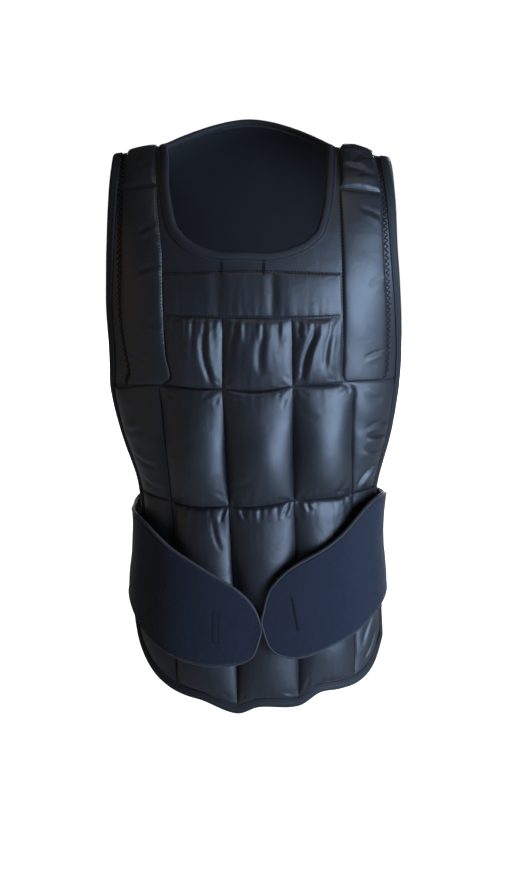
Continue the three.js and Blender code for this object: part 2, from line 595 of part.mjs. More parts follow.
// Belt wings with their piping
const edgeTop = panelThickness + tapeGap + bindingTape;
const pocketTop = panelThickness + layerGap + clothThickness + lowerPocketCrest;
for (const [side, outline] of [
  ["left", leftWing],
  ["right", rightWing],
]) {
  const net = wingRows.map((f) =>
    outline.map(({ round, top, bottom }) => {
      const down = vestLength * (top + f * (bottom - top)) + (1 - 2 * f) * rimWidth;
      const over = read(wingOverPockets, "round", "share", Math.abs(round));
      const off = edgeTop + wingClearance + over * (pocketTop - edgeTop);
      const normal = aroundNormal(round, down);
      return { point: bodyAround(round, down).addScaledVector(normal, off), normal };
    }),
  );
  const inner = net.map((row) => row.map((p) => raise(p, 0)));
  const outer = net.map((row) => row.map((p) => raise(p, wingThickness)));
  add(`belt_wing_${side}`, solidBetween(inner, outer), beltCloth);
  const [rows, columns] = [net.length - 1, net[0].length - 1];
  const rim = [
    ...net[0].slice(0, -1),
    ...net.slice(0, -1).map((row) => row[columns]),
    ...net[rows].slice(1).reverse(),
    ...net.slice(1).reverse().map((row) => row[0]),
  ];
  const rings = rim.map((p, k) => {
    const along = rim[(k + 1) % rim.length].point.clone();
    along.sub(rim[(k + rim.length - 1) % rim.length].point);
    const out = along.cross(p.normal).normalize();
    if (side === "right") out.negate();
    const at = (away, t) => raise(p, t).addScaledVector(out, away);
    return [
      at(layerGap, -pipingLip),
      at(layerGap, wingThickness + pipingLip),
      at(rimWidth, wingThickness + pipingLip),
      at(rimWidth, -pipingLip),
    ];
  });
  add(`wing_piping_${side}`, loopBody(rings), tape);
}

export default stack;
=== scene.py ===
# Weighted vest: its filled pockets, panels, tapes, belt wings, stitching and light, built round the
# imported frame. Tables and sizes are in millimetres or in shares of the vest; meshes are in metres.
import math

import bmesh
import bpy
import numpy as np
from mathutils import Matrix, Vector, noise
from mathutils.bvhtree import BVHTree


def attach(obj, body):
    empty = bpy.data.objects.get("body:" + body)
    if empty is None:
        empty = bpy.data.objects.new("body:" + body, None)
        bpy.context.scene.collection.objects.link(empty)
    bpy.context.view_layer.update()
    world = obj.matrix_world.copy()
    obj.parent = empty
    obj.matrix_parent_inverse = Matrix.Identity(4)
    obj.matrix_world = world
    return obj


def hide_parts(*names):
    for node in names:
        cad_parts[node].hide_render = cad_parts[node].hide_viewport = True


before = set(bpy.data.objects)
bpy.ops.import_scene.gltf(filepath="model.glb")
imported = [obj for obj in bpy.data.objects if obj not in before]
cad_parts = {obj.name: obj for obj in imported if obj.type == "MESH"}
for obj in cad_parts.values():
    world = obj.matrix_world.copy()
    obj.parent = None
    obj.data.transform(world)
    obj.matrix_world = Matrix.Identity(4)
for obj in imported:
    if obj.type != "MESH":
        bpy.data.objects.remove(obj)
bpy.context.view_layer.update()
print("stage: frame loaded")

mm = 0.001
perMetre = 1000

# Camera
view = {
    "aim": (0.0016, 0.0, -0.312), "distance": 2.8, "azimuth": 2.0, "elevation": 18.5,
    "lens": 108.04, "sensor": 36, "clip": 60,
}


def addObject(name, data):
    made = bpy.data.objects.new(name, data)
    bpy.context.scene.collection.objects.link(made)
    return made


# A camera or a light that looks at a point from so far away, by its angle round and its angle up
def addAimed(name, data, aim, azimuth, elevation, distance):
    turn = math.radians(azimuth)
    up = math.radians(elevation)
    away = Vector((math.sin(turn) * math.cos(up), -math.cos(turn) * math.cos(up), math.sin(up)))
    made = addObject(name, data)
    made.location = Vector(aim) + away * distance
    made.rotation_euler = (-away).to_track_quat("-Z", "Y").to_euler()
    return made


def addCamera():
    data = bpy.data.cameras.new("photoCamera")
    data.lens = view["lens"]
    data.sensor_width = view["sensor"]
    data.clip_end = view["clip"]
    placing = [view[key] for key in ("aim", "azimuth", "elevation", "distance")]
    bpy.context.scene.camera = addAimed("photoCamera", data, *placing)


addCamera()

# The rounded form that the vest keeps, and the vest's own sizes, as in the frame
body = {
    "halfWidth": 166, "chestDepth": 114, "backDepth": 106, "roundness": 2.15, "shoulderDrop": 165,
    "ridgeBack": 5, "slope": 0.21, "napeBack": 60,
    "napeRound": 20,  # rounds off the middle of the back neckline
    "napePower": 2.2,
}
vest = {
    "length": 590, "halfWidth": 148, "neckDepth": 116, "neckHalfWidth": 83, "neckShift": -8,
    "panel": 3.2,  # thickness of the panels
    "under": 3.5,  # where the pockets' cloth is sewn down
    "tape": 9.0,  # width of the binding
    "tabReach": 61,
    "ridge": 0.2,  # where the cloth starts beside the shoulder ridge
}
probe = {"turn": 0.4, "down": 0.5}  # small steps that slopes are measured over
# down, half width, front depth, back depth, lean
bodySections = [
    (0.0, 1.14, 0.98, 0.98, 0),
    (0.17, 1.07, 0.98, 1.0, 0),
    (0.28, 1.0, 1.0, 1.0, 0),
    (0.39, 0.964, 0.99, 0.96, 0),
    (0.51, 0.875, 0.947, 0.895, 0.012),
    (0.585, 0.79, 0.91, 0.84, 0.02),
    (0.63, 0.768, 0.886, 0.815, 0.02),
    (0.68, 0.755, 0.877, 0.815, 0.02),
    (0.73, 0.76, 0.877, 0.84, 0.02),
    (0.78, 0.777, 0.886, 0.875, 0.02),
    (0.83, 0.79, 0.893, 0.91, 0.02),
    (0.89, 0.812, 0.9, 0.95, 0.018),
    (1.02, 0.83, 0.895, 0.99, 0.012),
]
seamNames = ["edgeL", "strapL", "outerL", "innerL", "innerR", "outerR", "strapR", "edgeR"]
# down, then the places of the long seams in that order
frontSeams = [
    (0.0, -0.987, -0.9, -0.69, -0.622, 0.507, 0.575, 0.82, 0.915),
    (0.052, -0.987, -0.9, -0.675, -0.601, 0.503, 0.58, 0.845, 0.932),
    (0.103, -0.992, -0.9, -0.66, -0.588, 0.497, 0.584, 0.872, 0.955),
    (0.131, -0.993, -0.9, -0.65, -0.567, 0.486, 0.59, 0.88, 0.963),
    (0.156, -0.995, -0.9, -0.635, -0.537, 0.46, 0.596, 0.884, 0.969),
    (0.171, -0.996, -0.9, -0.625, -0.5, 0.425, 0.6, 0.887, 0.973),
    (0.183, -0.997, -0.9, -0.618, -0.43, 0.35, 0.602, 0.89, 0.976),
    (0.191, -0.998, -0.9, -0.612, -0.33, 0.235, 0.604, 0.893, 0.979),
    (0.197, -0.999, -0.9, -0.61, -0.23, 0.15, 0.605, 0.895, 0.981),
    (0.216, -1.0, -0.9, -0.607, -0.205, 0.235, 0.607, 0.9, 0.988),
    (0.263, -1.005, -0.9, -0.6, -0.196, 0.27, 0.615, 0.913, 1.003),
    (0.325, -0.993, -0.87, -0.585, -0.196, 0.276, 0.62, 0.914, 1.012),
    (0.368, -0.99, -0.84, -0.56, -0.197, 0.279, 0.622, 0.906, 1.008),
    (0.384, -0.992, -0.86, -0.63, -0.198, 0.28, 0.69, 0.88, 1.004),
    (0.415, -0.99, -0.86, -0.622, -0.192, 0.28, 0.686, 0.88, 0.994),
    (0.49, -0.93, -0.8, -0.6, -0.178, 0.284, 0.682, 0.84, 0.95),
    (0.59, -0.812, -0.7, -0.565, -0.16, 0.289, 0.69, 0.77, 0.858),
    (0.68, -0.785, -0.68, -0.55, -0.145, 0.3, 0.69, 0.75, 0.828),
    (0.76, -0.808, -0.7, -0.55, -0.125, 0.312, 0.7, 0.765, 0.85),
    (0.85, -0.855, -0.74, -0.545, -0.106, 0.326, 0.715, 0.8, 0.9),
    (1.0, -0.87, -0.75, -0.53, -0.104, 0.33, 0.72, 0.815, 0.925),
]
backSeams = [
    (0.0, -0.987, -0.9, -0.69, -0.622, 0.507, 0.575, 0.82, 0.915),
    (0.103, -0.992, -0.9, -0.66, -0.45, 0.4, 0.6, 0.865, 0.955),
    (0.2, -1.0, -0.9, -0.62, -0.24, 0.25, 0.62, 0.9, 0.985),
    (0.38, -0.99, -0.87, -0.61, -0.23, 0.24, 0.63, 0.88, 1.004),
    (0.49, -0.93, -0.8, -0.59, -0.22, 0.24, 0.62, 0.83, 0.95),
    (0.59, -0.812, -0.69, -0.55, -0.21, 0.24, 0.585, 0.73, 0.858),
    (0.68, -0.785, -0.665, -0.53, -0.2, 0.24, 0.57, 0.705, 0.828),
    (0.76, -0.808, -0.685, -0.53, -0.2, 0.24, 0.57, 0.725, 0.85),
    (0.85, -0.855, -0.73, -0.54, -0.2, 0.24, 0.58, 0.77, 0.9),
    (1.0, -0.87, -0.745, -0.54, -0.2, 0.24, 0.58, 0.79, 0.925),
]
levelNames = ["band", "gathers", "chest", "waist", "hem"]
# across, then how far down the cross seams lie in that order
frontLevels = [
    (-1.0, 0.216, 0.263, 0.408, 0.606, 0.857),
    (-0.93, 0.216, 0.263, 0.401, 0.606, 0.906),
    (-0.82, 0.216, 0.263, 0.392, 0.606, 0.942),
    (-0.69, 0.216, 0.263, 0.384, 0.606, 0.962),
    (-0.55, 0.216, 0.263, 0.38, 0.606, 0.972),
    (-0.4, 0.216, 0.263, 0.38, 0.604, 0.977),
    (-0.12, 0.215, 0.263, 0.38, 0.6, 0.997),
    (0.05, 0.214, 0.263, 0.381, 0.597, 0.983),
    (0.36, 0.213, 0.263, 0.373, 0.589, 0.983),
    (0.52, 0.213, 0.263, 0.373, 0.587, 0.961),
    (0.67, 0.213, 0.263, 0.374, 0.59, 0.961),
    (0.82, 0.213, 0.263, 0.379, 0.592, 0.957),
    (0.93, 0.213, 0.263, 0.385, 0.594, 0.937),
    (1.0, 0.213, 0.263, 0.39, 0.595, 0.897),
]
backLevels = [
    (-1.0, 0.2, 0.25, 0.4, 0.6, 0.857),
    (-0.82, 0.2, 0.25, 0.395, 0.6, 0.945),
    (-0.55, 0.2, 0.25, 0.39, 0.6, 0.975),
    (0.0, 0.2, 0.25, 0.39, 0.6, 0.985),
    (0.55, 0.2, 0.25, 0.39, 0.6, 0.975),
    (0.82, 0.2, 0.25, 0.395, 0.6, 0.95),
    (1.0, 0.2, 0.25, 0.4, 0.6, 0.88),
]


# One column of a table on a smooth curve through its rows
def readTable(table, column, place):
    keys = np.array([row[0] for row in table], dtype=float)
    values = np.array([row[column] for row in table], dtype=float)
    slopes = np.empty_like(values)
    slopes[1:-1] = (values[2:] - values[:-2]) / (keys[2:] - keys[:-2])
    slopes[0] = (values[1] - values[0]) / (keys[1] - keys[0])
    slopes[-1] = (values[-1] - values[-2]) / (keys[-1] - keys[-2])
    place = np.asarray(place, dtype=float)
    i = np.clip(np.searchsorted(keys, place, side="right") - 1, 0, len(keys) - 2)
    step = keys[i + 1] - keys[i]
    f = np.clip((place - keys[i]) / step, 0, 1)
    flat = values[i] * (2 * f**3 - 3 * f**2 + 1) + values[i + 1] * (3 * f**2 - 2 * f**3)
    return flat + step * (slopes[i] * (f**3 - 2 * f**2 + f) + slopes[i + 1] * (f**3 - f**2))


def sectionAt(down, onFront):
    at = down / vest["length"]
    front = body["chestDepth"] * readTable(bodySections, 2, at)
    back = body["backDepth"] * readTable(bodySections, 3, at)
    width = body["halfWidth"] * readTable(bodySections, 1, at)
    lean = body["halfWidth"] * readTable(bodySections, 4, at)
    return width, np.where(onFront, front, back), lean


# A point of the body at x, so far down from the shoulder ridge, on the front (-1) or the back (1)
def bodyPoint(x, down, face):
    x, down, face = np.broadcast_arrays(np.asarray(x, float), np.asarray(down, float), face)
    width, depth, lean = sectionAt(down, face < 0)
    power = body["roundness"]
    reach = np.minimum(np.abs(x - lean) / width, 0.999)
    y = face * depth * (1 - reach**power) ** (1 / power)
    drop = body["shoulderDrop"]
    turn = np.clip(down / drop, 0, 1) * (np.pi / 2)
    offset = np.abs(x - vest["neckShift"])
    nape = 1 - np.minimum(offset / vest["neckHalfWidth"], 1) ** body["napePower"]
    ridge = body["ridgeBack"] + np.where(face > 0, body["napeBack"] * nape, 0)
    rounded = np.sqrt(offset**2 + body["napeRound"] ** 2)
    fall = body["slope"] * (vest["neckHalfWidth"] - rounded) * np.cos(turn)
    z = fall - drop * (1 - np.cos(turn)) - np.maximum(down - drop, 0)
    return np.stack([x, ridge + (y - ridge) * np.sin(turn), z], axis=-1)


def unit(vectors):
    return vectors / np.maximum(np.linalg.norm(vectors, axis=-1, keepdims=True), 1e-9)


def bodySlopes(x, down, face):
    step = probe["down"]
    low = np.maximum(down - step, 0)
    alongX = (bodyPoint(x + step, down, face) - bodyPoint(x - step, down, face)) / (2 * step)
    alongDown = bodyPoint(x, down + step, face) - bodyPoint(x, low, face)
    alongDown = alongDown / (down + step - low)[..., None]
    return alongX, alongDown


def bodyNormal(x, down, face):
    alongX, alongDown = bodySlopes(x, down, face)
    return unit(np.cross(alongDown, alongX) * -np.asarray(face)[..., None])


def raised(x, down, face, lift):
    face = np.broadcast_to(face, np.shape(x))
    return bodyPoint(x, down, face) + bodyNormal(x, down, face) * np.asarray(lift)[..., None]


# The same body below the arms, by the angle round it from the middle of the front
def bodyAround(turn, down):
    angle = np.radians(turn)
    width, depth, lean = sectionAt(down, np.cos(angle) > 0)
    power = body["roundness"]
    across = np.abs(np.sin(angle) / width) ** power + np.abs(np.cos(angle) / depth) ** power
    radius = across ** (-1 / power)
    return np.stack([lean + radius * np.sin(angle), -radius * np.cos(angle), -down], axis=-1)


def aroundNormal(turn, down):
    alongTurn = bodyAround(turn + probe["turn"], down) - bodyAround(turn - probe["turn"], down)
    alongDown = bodyAround(turn, down + probe["down"]) - bodyAround(turn, down - probe["down"])
    return unit(np.cross(alongDown, alongTurn))


def seamAt(face, name, down):
    column = 1 + seamNames.index(name)
    at = np.asarray(down, float) / vest["length"]
    front = readTable(frontSeams, column, at)
    back = readTable(backSeams, column, at)
    return vest["halfWidth"] * np.where(np.asarray(face) < 0, front, back)


def levelAt(face, name, across):
    fixed = {"ridge": vest["ridge"], "tab": vest["tabReach"], "neck": vest["neckDepth"]}
    if name in fixed:
        return np.full_like(across, fixed[name])
    table = frontLevels if face < 0 else backLevels
    return vest["length"] * readTable(table, 1 + levelNames.index(name), across)


# How far down a level lies along lines whose x at any depth is known
def levelAlong(face, name, like, xAt):
    down = levelAt(face, name, np.zeros_like(like))
    for _ in range(4):
        x = xAt(down)
        edge = np.where(x < 0, -seamAt(face, "edgeL", down), seamAt(face, "edgeR", down))
        down = levelAt(face, name, np.clip(x / edge, -1, 1))
    return down


# The same where the share u of the way from one long seam to the next crosses it
def levelDepth(face, name, u, start, stop):
    def xAt(down):
        return seamAt(face, start, down) * (1 - u) + seamAt(face, stop, down) * u

    return levelAlong(face, name, u, xAt)


# Moves x by so many millimetres along the cloth
def acrossCloth(x, down, face, distance):
    alongX, _ = bodySlopes(x, down, face)
    return x + distance / np.linalg.norm(alongX, axis=-1)


def rise(f, power):
    return np.maximum(1 - (2 * f - 1) ** 2, 0) ** (power / 2)


def ease(a, b, x):
    f = np.clip((x - a) / (b - a), 0, 1)
    return f * f * (3 - 2 * f)


def noiseAt(x, y, scale, seed):
    layer = seed * 3.7
    places = zip(np.ravel(x) / scale, np.ravel(y) / scale)
    values = [noise.noise(Vector((a, b, layer))) for a, b in places]
    return np.array(values).reshape(np.shape(x))


# The length along a line of points up to each of them
def lengthAlong(points):
    steps = np.linalg.norm(np.diff(points, axis=0), axis=1)
    return np.concatenate([[0], np.cumsum(steps)])


def closedLoop(values):
    return np.concatenate([values, values[:1]])


def pointsAt(marks, length, values):
    return np.stack([np.interp(marks, length, values[:, c]) for c in range(3)], axis=1)


# A flat grid with its shares u (to the right) and v (down), and each vertex's row-major place
def newGrid(columns, rows):
    mesh = bmesh.new()
    bmesh.ops.create_grid(mesh, x_segments=columns, y_segments=rows, size=0.5)
    mesh.verts.ensure_lookup_table()
    flat = np.array([v.co[:2] for v in mesh.verts])
    u = flat[:, 0] + 0.5
    v = 0.5 - flat[:, 1]
    order = np.round(v * rows).astype(int) * (columns + 1) + np.round(u * columns).astype(int)
    return mesh, u, v, order


# Lengths along the rows and the columns of a grid of points, as the flat pattern it was cut from
def flatPattern(points, order, columns, rows):
    grid = np.empty((len(points), 3))
    grid[order] = points
    grid = grid.reshape(rows + 1, columns + 1, 3)
    rowSteps = np.linalg.norm(np.diff(grid, axis=1), axis=-1)
    columnSteps = np.linalg.norm(np.diff(grid, axis=0), axis=-1)
    across = np.concatenate([np.zeros((rows + 1, 1)), np.cumsum(rowSteps, axis=1)], axis=1)
    along = np.concatenate([[0], np.cumsum(np.median(columnSteps, axis=1))])
    across -= across[:, -1:] / 2
    return across, np.broadcast_to(along[:, None], across.shape)


def patternRows(across, along, order):
    return np.stack([across.ravel(), along.ravel()], axis=-1)[order]


def layPattern(mesh, pattern):
    layer = mesh.loops.layers.uv.new("cut")
    for f in mesh.faces:
        for loop in f.loops:
            loop[layer].uv = pattern[loop.vert.index] * mm


def moveTo(mesh, points):
    for v, p in zip(mesh.verts, points):
        v.co = p


def pointsOf(mesh):
    return np.array([v.co[:] for v in mesh.verts])


# Joins the edges of a grid where they meet, and gives the points that are left
def closeGrid(mesh, points):
    moveTo(mesh, points)
    bmesh.ops.remove_doubles(mesh, verts=mesh.verts[:], dist=0.001)
    return pointsOf(mesh)


def toData(name, mesh):
    data = bpy.data.meshes.new(name)
    mesh.to_mesh(data)
    mesh.free()
    return data


def makePiece(name, mesh, points, flip=False):
    moveTo(mesh, points * mm)
    if flip:
        bmesh.ops.reverse_faces(mesh, faces=mesh.faces[:])
    for f in mesh.faces:
        f.smooth = True
    return addObject(name, toData(name, mesh))


def soften(piece):
    modifier = piece.modifiers.new("soften", "SUBSURF")
    modifier.levels = 1
    modifier.render_levels = 1


def thicken(piece, thickness, insideSlot=0):
    modifier = piece.modifiers.new("wall", "SOLIDIFY")
    modifier.thickness = thickness * mm
    modifier.offset = -1
    modifier.material_offset = insideSlot


def finishPiece(piece, slot, material, *nodes):
    piece.data.materials.append(material)
    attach(piece, "root")
    if nodes:
        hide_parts(*nodes)


# Gives a node's inputs their values, or links them to the sockets given
def feed(tree, node, inputs):
    for label, value in inputs.items():
        if isinstance(value, bpy.types.NodeSocket):
            tree.links.new(value, node.inputs[label])
        else:
            node.inputs[label].default_value = value
    return node


def addNode(tree, kind, inputs):
    return feed(tree, tree.nodes.new(kind), inputs)


def addGroup(tree, group, inputs):
    node = tree.nodes.new("ShaderNodeGroup")
    node.node_tree = group
    return feed(tree, node, inputs)


def math2(tree, operation, a, b=None):
    node = tree.nodes.new("ShaderNodeMath")
    node.operation = operation
    return feed(tree, node, {0: a} if b is None else {0: a, 1: b}).outputs[0]


def newMaterial(name, color, roughness):
    material = bpy.data.materials.new(name)
    material.use_nodes = True
    tree = material.node_tree
    look = {"Base Color": (*color, 1), "Roughness": roughness}
    return material, tree, feed(tree, tree.nodes["Principled BSDF"], look)


def newGroup(name, inputs, outputs):
    group = bpy.data.node_groups.new(name, "ShaderNodeTree")
    for label, kind, value in inputs:
        socket = group.interface.new_socket(name=label, in_out="INPUT", socket_type=kind)
        if value is not None:
            socket.default_value = value
    for label in outputs:
        group.interface.new_socket(name=label, in_out="OUTPUT", socket_type="NodeSocketFloat")
    return group, group.nodes.new("NodeGroupInput").outputs, group.nodes.new("NodeGroupOutput")


# Crossing threads: Height for a bump, Tint from 0 to 1 from thread to thread
def buildWeave():
    inputs = [
        ("Vector", "NodeSocketVector", None),
        ("Threads", "NodeSocketFloat", 2000.0),
        ("Twill", "NodeSocketFloat", 0.0),
    ]
    group, given, end = newGroup("weave", inputs, ["Height", "Tint"])
    place = addNode(group, "ShaderNodeSeparateXYZ", {0: given["Vector"]}).outputs
    warp = math2(group, "MULTIPLY", place[0], given["Threads"])
    weft = math2(group, "MULTIPLY", place[1], given["Threads"])
    warp = math2(group, "ADD", warp, math2(group, "MULTIPLY", weft, given["Twill"]))
    waves = [math2(group, "SINE", math2(group, "MULTIPLY", way, math.pi)) for way in (warp, weft)]
    height = math2(group, "MULTIPLY", *waves)
    height = math2(group, "MULTIPLY_ADD", height, 0.5)  # and the node's own half is added
    along = math2(group, "MULTIPLY", place[0], 900.0)
    across = math2(group, "MULTIPLY", place[1], 45.0)
    stretch = addNode(group, "ShaderNodeCombineXYZ", {0: along, 1: across}).outputs[0]
    slub = addNode(group, "ShaderNodeTexNoise", {"Scale": 1.0, "Detail": 3, "Vector": stretch})
    feed(group, end, {"Height": height, "Tint": slub.outputs["Fac"]})
    return group


# Soft unevenness of handled cloth, from 0 to 1
def buildHandling():
    inputs = [("Vector", "NodeSocketVector", None), ("Scale", "NodeSocketFloat", 14.0)]
    group, given, end = newGroup("handling", inputs, ["Value", "Crumple"])
    large = {"Detail": 5, "Roughness": 0.6, "Vector": given["Vector"], "Scale": given["Scale"]}
    finer = math2(group, "MULTIPLY", given["Scale"], 6.0)
    small = {"Detail": 2, "Distortion": 0.6, "Vector": given["Vector"], "Scale": finer}
    for label, look in (("Value", large), ("Crumple", small)):
        cloud = addNode(group, "ShaderNodeTexNoise", look)
        feed(group, end, {label: cloud.outputs["Fac"]})
    return group


weaveGroup = buildWeave()
handlingGroup = buildHandling()


def clothMaterial(name, look):
    material, tree, shader = newMaterial(name, look["color"], look["roughness"])
    pattern = tree.nodes.new("ShaderNodeUVMap")
    pattern.uv_map = "cut"
    pattern = pattern.outputs["UV"]
    place = tree.nodes.new("ShaderNodeTexCoord").outputs["Object"]
    threads = {"Vector": pattern, "Threads": look["threads"], "Twill": look["twill"]}
    weave = addGroup(tree, weaveGroup, threads).outputs
    handling = addGroup(tree, handlingGroup, {"Vector": place, "Scale": look["patches"]}).outputs

    # Colour from deep to worn, and gloss that varies as the cloth was handled
    mixed = math2(tree, "MULTIPLY", handling["Value"], 0.75)
    mixed = math2(tree, "ADD", mixed, math2(tree, "MULTIPLY", weave["Tint"], 0.5))
    mixed = math2(tree, "SUBTRACT", mixed, 0.15)
    worn = tree.nodes.new("ShaderNodeMix")
    worn.data_type = "RGBA"
    feed(tree, worn, {"A": (*look["color"], 1), "B": (*look["worn"], 1), "Factor": mixed})
    rough = math2(tree, "MULTIPLY", handling["Value"], look["roughSpread"])
    rough = math2(tree, "ADD", rough, look["roughness"] - look["roughSpread"] / 2)
    crumple = {"Strength": look["crumple"], "Distance": 0.002, "Height": handling["Crumple"]}
    crumple = addNode(tree, "ShaderNodeBump", crumple).outputs["Normal"]
    relief = {"Strength": look["relief"], "Distance": 0.0002, "Height": weave["Height"]}
    relief = addNode(tree, "ShaderNodeBump", {**relief, "Normal": crumple}).outputs["Normal"]
    feed(tree, shader, {"Base Color": worn.outputs["Result"], "Roughness": rough, "Normal": relief})
    feed(tree, shader, {"Specular IOR Level": look["gloss"], "Sheen Weight": look["sheen"]})
    feed(tree, shader, {"Sheen Roughness": 0.4})
    return material


satin = clothMaterial(
    "blackSatinNylon",
    {
        "color": (0.009, 0.009, 0.011), "worn": (0.02, 0.02, 0.022), "roughness": 0.42,
        "roughSpread": 0.12, "threads": 2600.0, "twill": 0.0, "patches": 11.0, "crumple": 0.22,
        "relief": 0.25, "gloss": 0.62, "sheen": 0.04,
    },
)
lining = clothMaterial(
    "matteLining",
    {
        "color": (0.01, 0.01, 0.011), "worn": (0.02, 0.02, 0.021), "roughness": 0.85,
        "roughSpread": 0.1, "threads": 1500.0, "twill": 0.0, "patches": 9.0, "crumple": 0.1,
        "relief": 0.4, "gloss": 0.3, "sheen": 0.05,
    },
)
ribbed = clothMaterial(
    "ribbedTape",
    {
        "color": (0.007, 0.007, 0.008), "worn": (0.017, 0.017, 0.019), "roughness": 0.68,
        "roughSpread": 0.12, "threads": 1400.0, "twill": 0.0, "patches": 20.0, "crumple": 0.15,
        "relief": 0.6, "gloss": 0.45, "sheen": 0.08,
    },
)
brushed = clothMaterial(
    "brushedLoopCloth",
    {
        "color": (0.008, 0.0095, 0.017), "worn": (0.013, 0.0165, 0.03), "roughness": 0.92,
        "roughSpread": 0.06, "threads": 2300.0, "twill": 0.5, "patches": 30.0, "crumple": 0.3,
        "relief": 0.7, "gloss": 0.35, "sheen": 0.12,
    },
)
pipingCloth = clothMaterial(
    "greyPiping",
    {
        "color": (0.026, 0.026, 0.028), "worn": (0.045, 0.044, 0.046), "roughness": 0.7,
        "roughSpread": 0.1, "threads": 1600.0, "twill": 0.6, "patches": 40.0, "crumple": 0.1,
        "relief": 0.6, "gloss": 0.4, "sheen": 0.1,
    },
)
print("stage: materials")


# Pieces of cloth that are blown up against their flat pattern
clothWork = []
fold = {
    "frames": 24, "stepFront": 1.8, "stepBack": 2.8, "leastCells": 6, "pleatWidth": 8.2,
    "gatherReach": 14, "gatherWidth": 5.0, "gatherLift": 7, "slackWidth": 24,
    "overCrest": 1.08,  # how far past the crest of the frame's solid the cloth may swell
    "rimLift": 0.12,
    "drift": 3.5,  # how far a point may slide along the cloth
    "softCap": 1.2, "leastLift": 0.3,
}
clothSettings = {
    "quality": 6, "mass": 0.2, "tension_stiffness": 25, "compression_stiffness": 25,
    "shear_stiffness": 10, "tension_damping": 8, "compression_damping": 8, "shear_damping": 8,
    "bending_damping": 0.5, "air_damping": 2, "use_pressure": True,
}


# Sharp little pleats that run off a gathered seam, each with its own reach
def pleatsFrom(seamX, away, seed):
    phase = seamX / fold["pleatWidth"] + 1.3 * noiseAt(seamX, seamX * 0, 17, seed)
    number = np.floor(phase)
    part = np.abs(2 * (phase - number) - 1)
    reach = 5 + 26 * np.abs(noiseAt(number * 7.3, number * 0, 1.9, seed + 3))
    size = 0.45 + 1.1 * np.abs(noiseAt(number * 5.1, number * 0, 1.7, seed + 6))
    return size * (0.62 - part**1.25) * (1 - np.exp(-away / 1.1)) * np.exp(-((away / reach) ** 1.4))


# Creases as (u, v) to (u, v) with depth and width in millimetres: a valley with a ridge beside it
def creaseLift(u, v, wide, tall, creases):
    lift = np.zeros_like(u)
    for u0, v0, u1, v1, depth, width in creases:
        ax, ay = u0 * wide, v0 * tall
        bx, by = (u1 - u0) * wide, (v1 - v0) * tall
        length = math.hypot(bx, by)
        along = ((u * wide - ax) * bx + (v * tall - ay) * by) / length**2
        bend = 0.06 * length * np.sin(np.clip(along, 0, 1) * np.pi)
        side = ((u * wide - ax) * by - (v * tall - ay) * bx) / length + bend
        ends = ease(-0.05, 0.25, along) * (1 - ease(0.7, 1.05, along))
        valley = np.exp(-((side / width) ** 2))
        ridge = np.exp(-(((side - 1.9 * width) / (1.3 * width)) ** 2))
        lift += depth * (0.55 * ridge - valley) * ends
    return lift


# Creases that run off the corners of a filled pocket
def cornerCreases(wide, tall, depth, seed):
    found = []
    draw = np.random.default_rng(seed)
    for cu, cv in [(0, 0), (1, 0), (0, 1), (1, 1)]:
        for angle in (28, 62):
            reach = draw.uniform(11, 24)
            way = math.radians(angle + draw.uniform(-9, 9))
            du = math.cos(way) * reach / wide * (1 if cu == 0 else -1)
            dv = math.sin(way) * reach / tall * (1 if cv == 0 else -1)
            start = (cu + du * 0.12, cv + dv * 0.12)
            found.append((*start, cu + du, cv + dv, depth * draw.uniform(0.4, 1), 2.0))
    return found


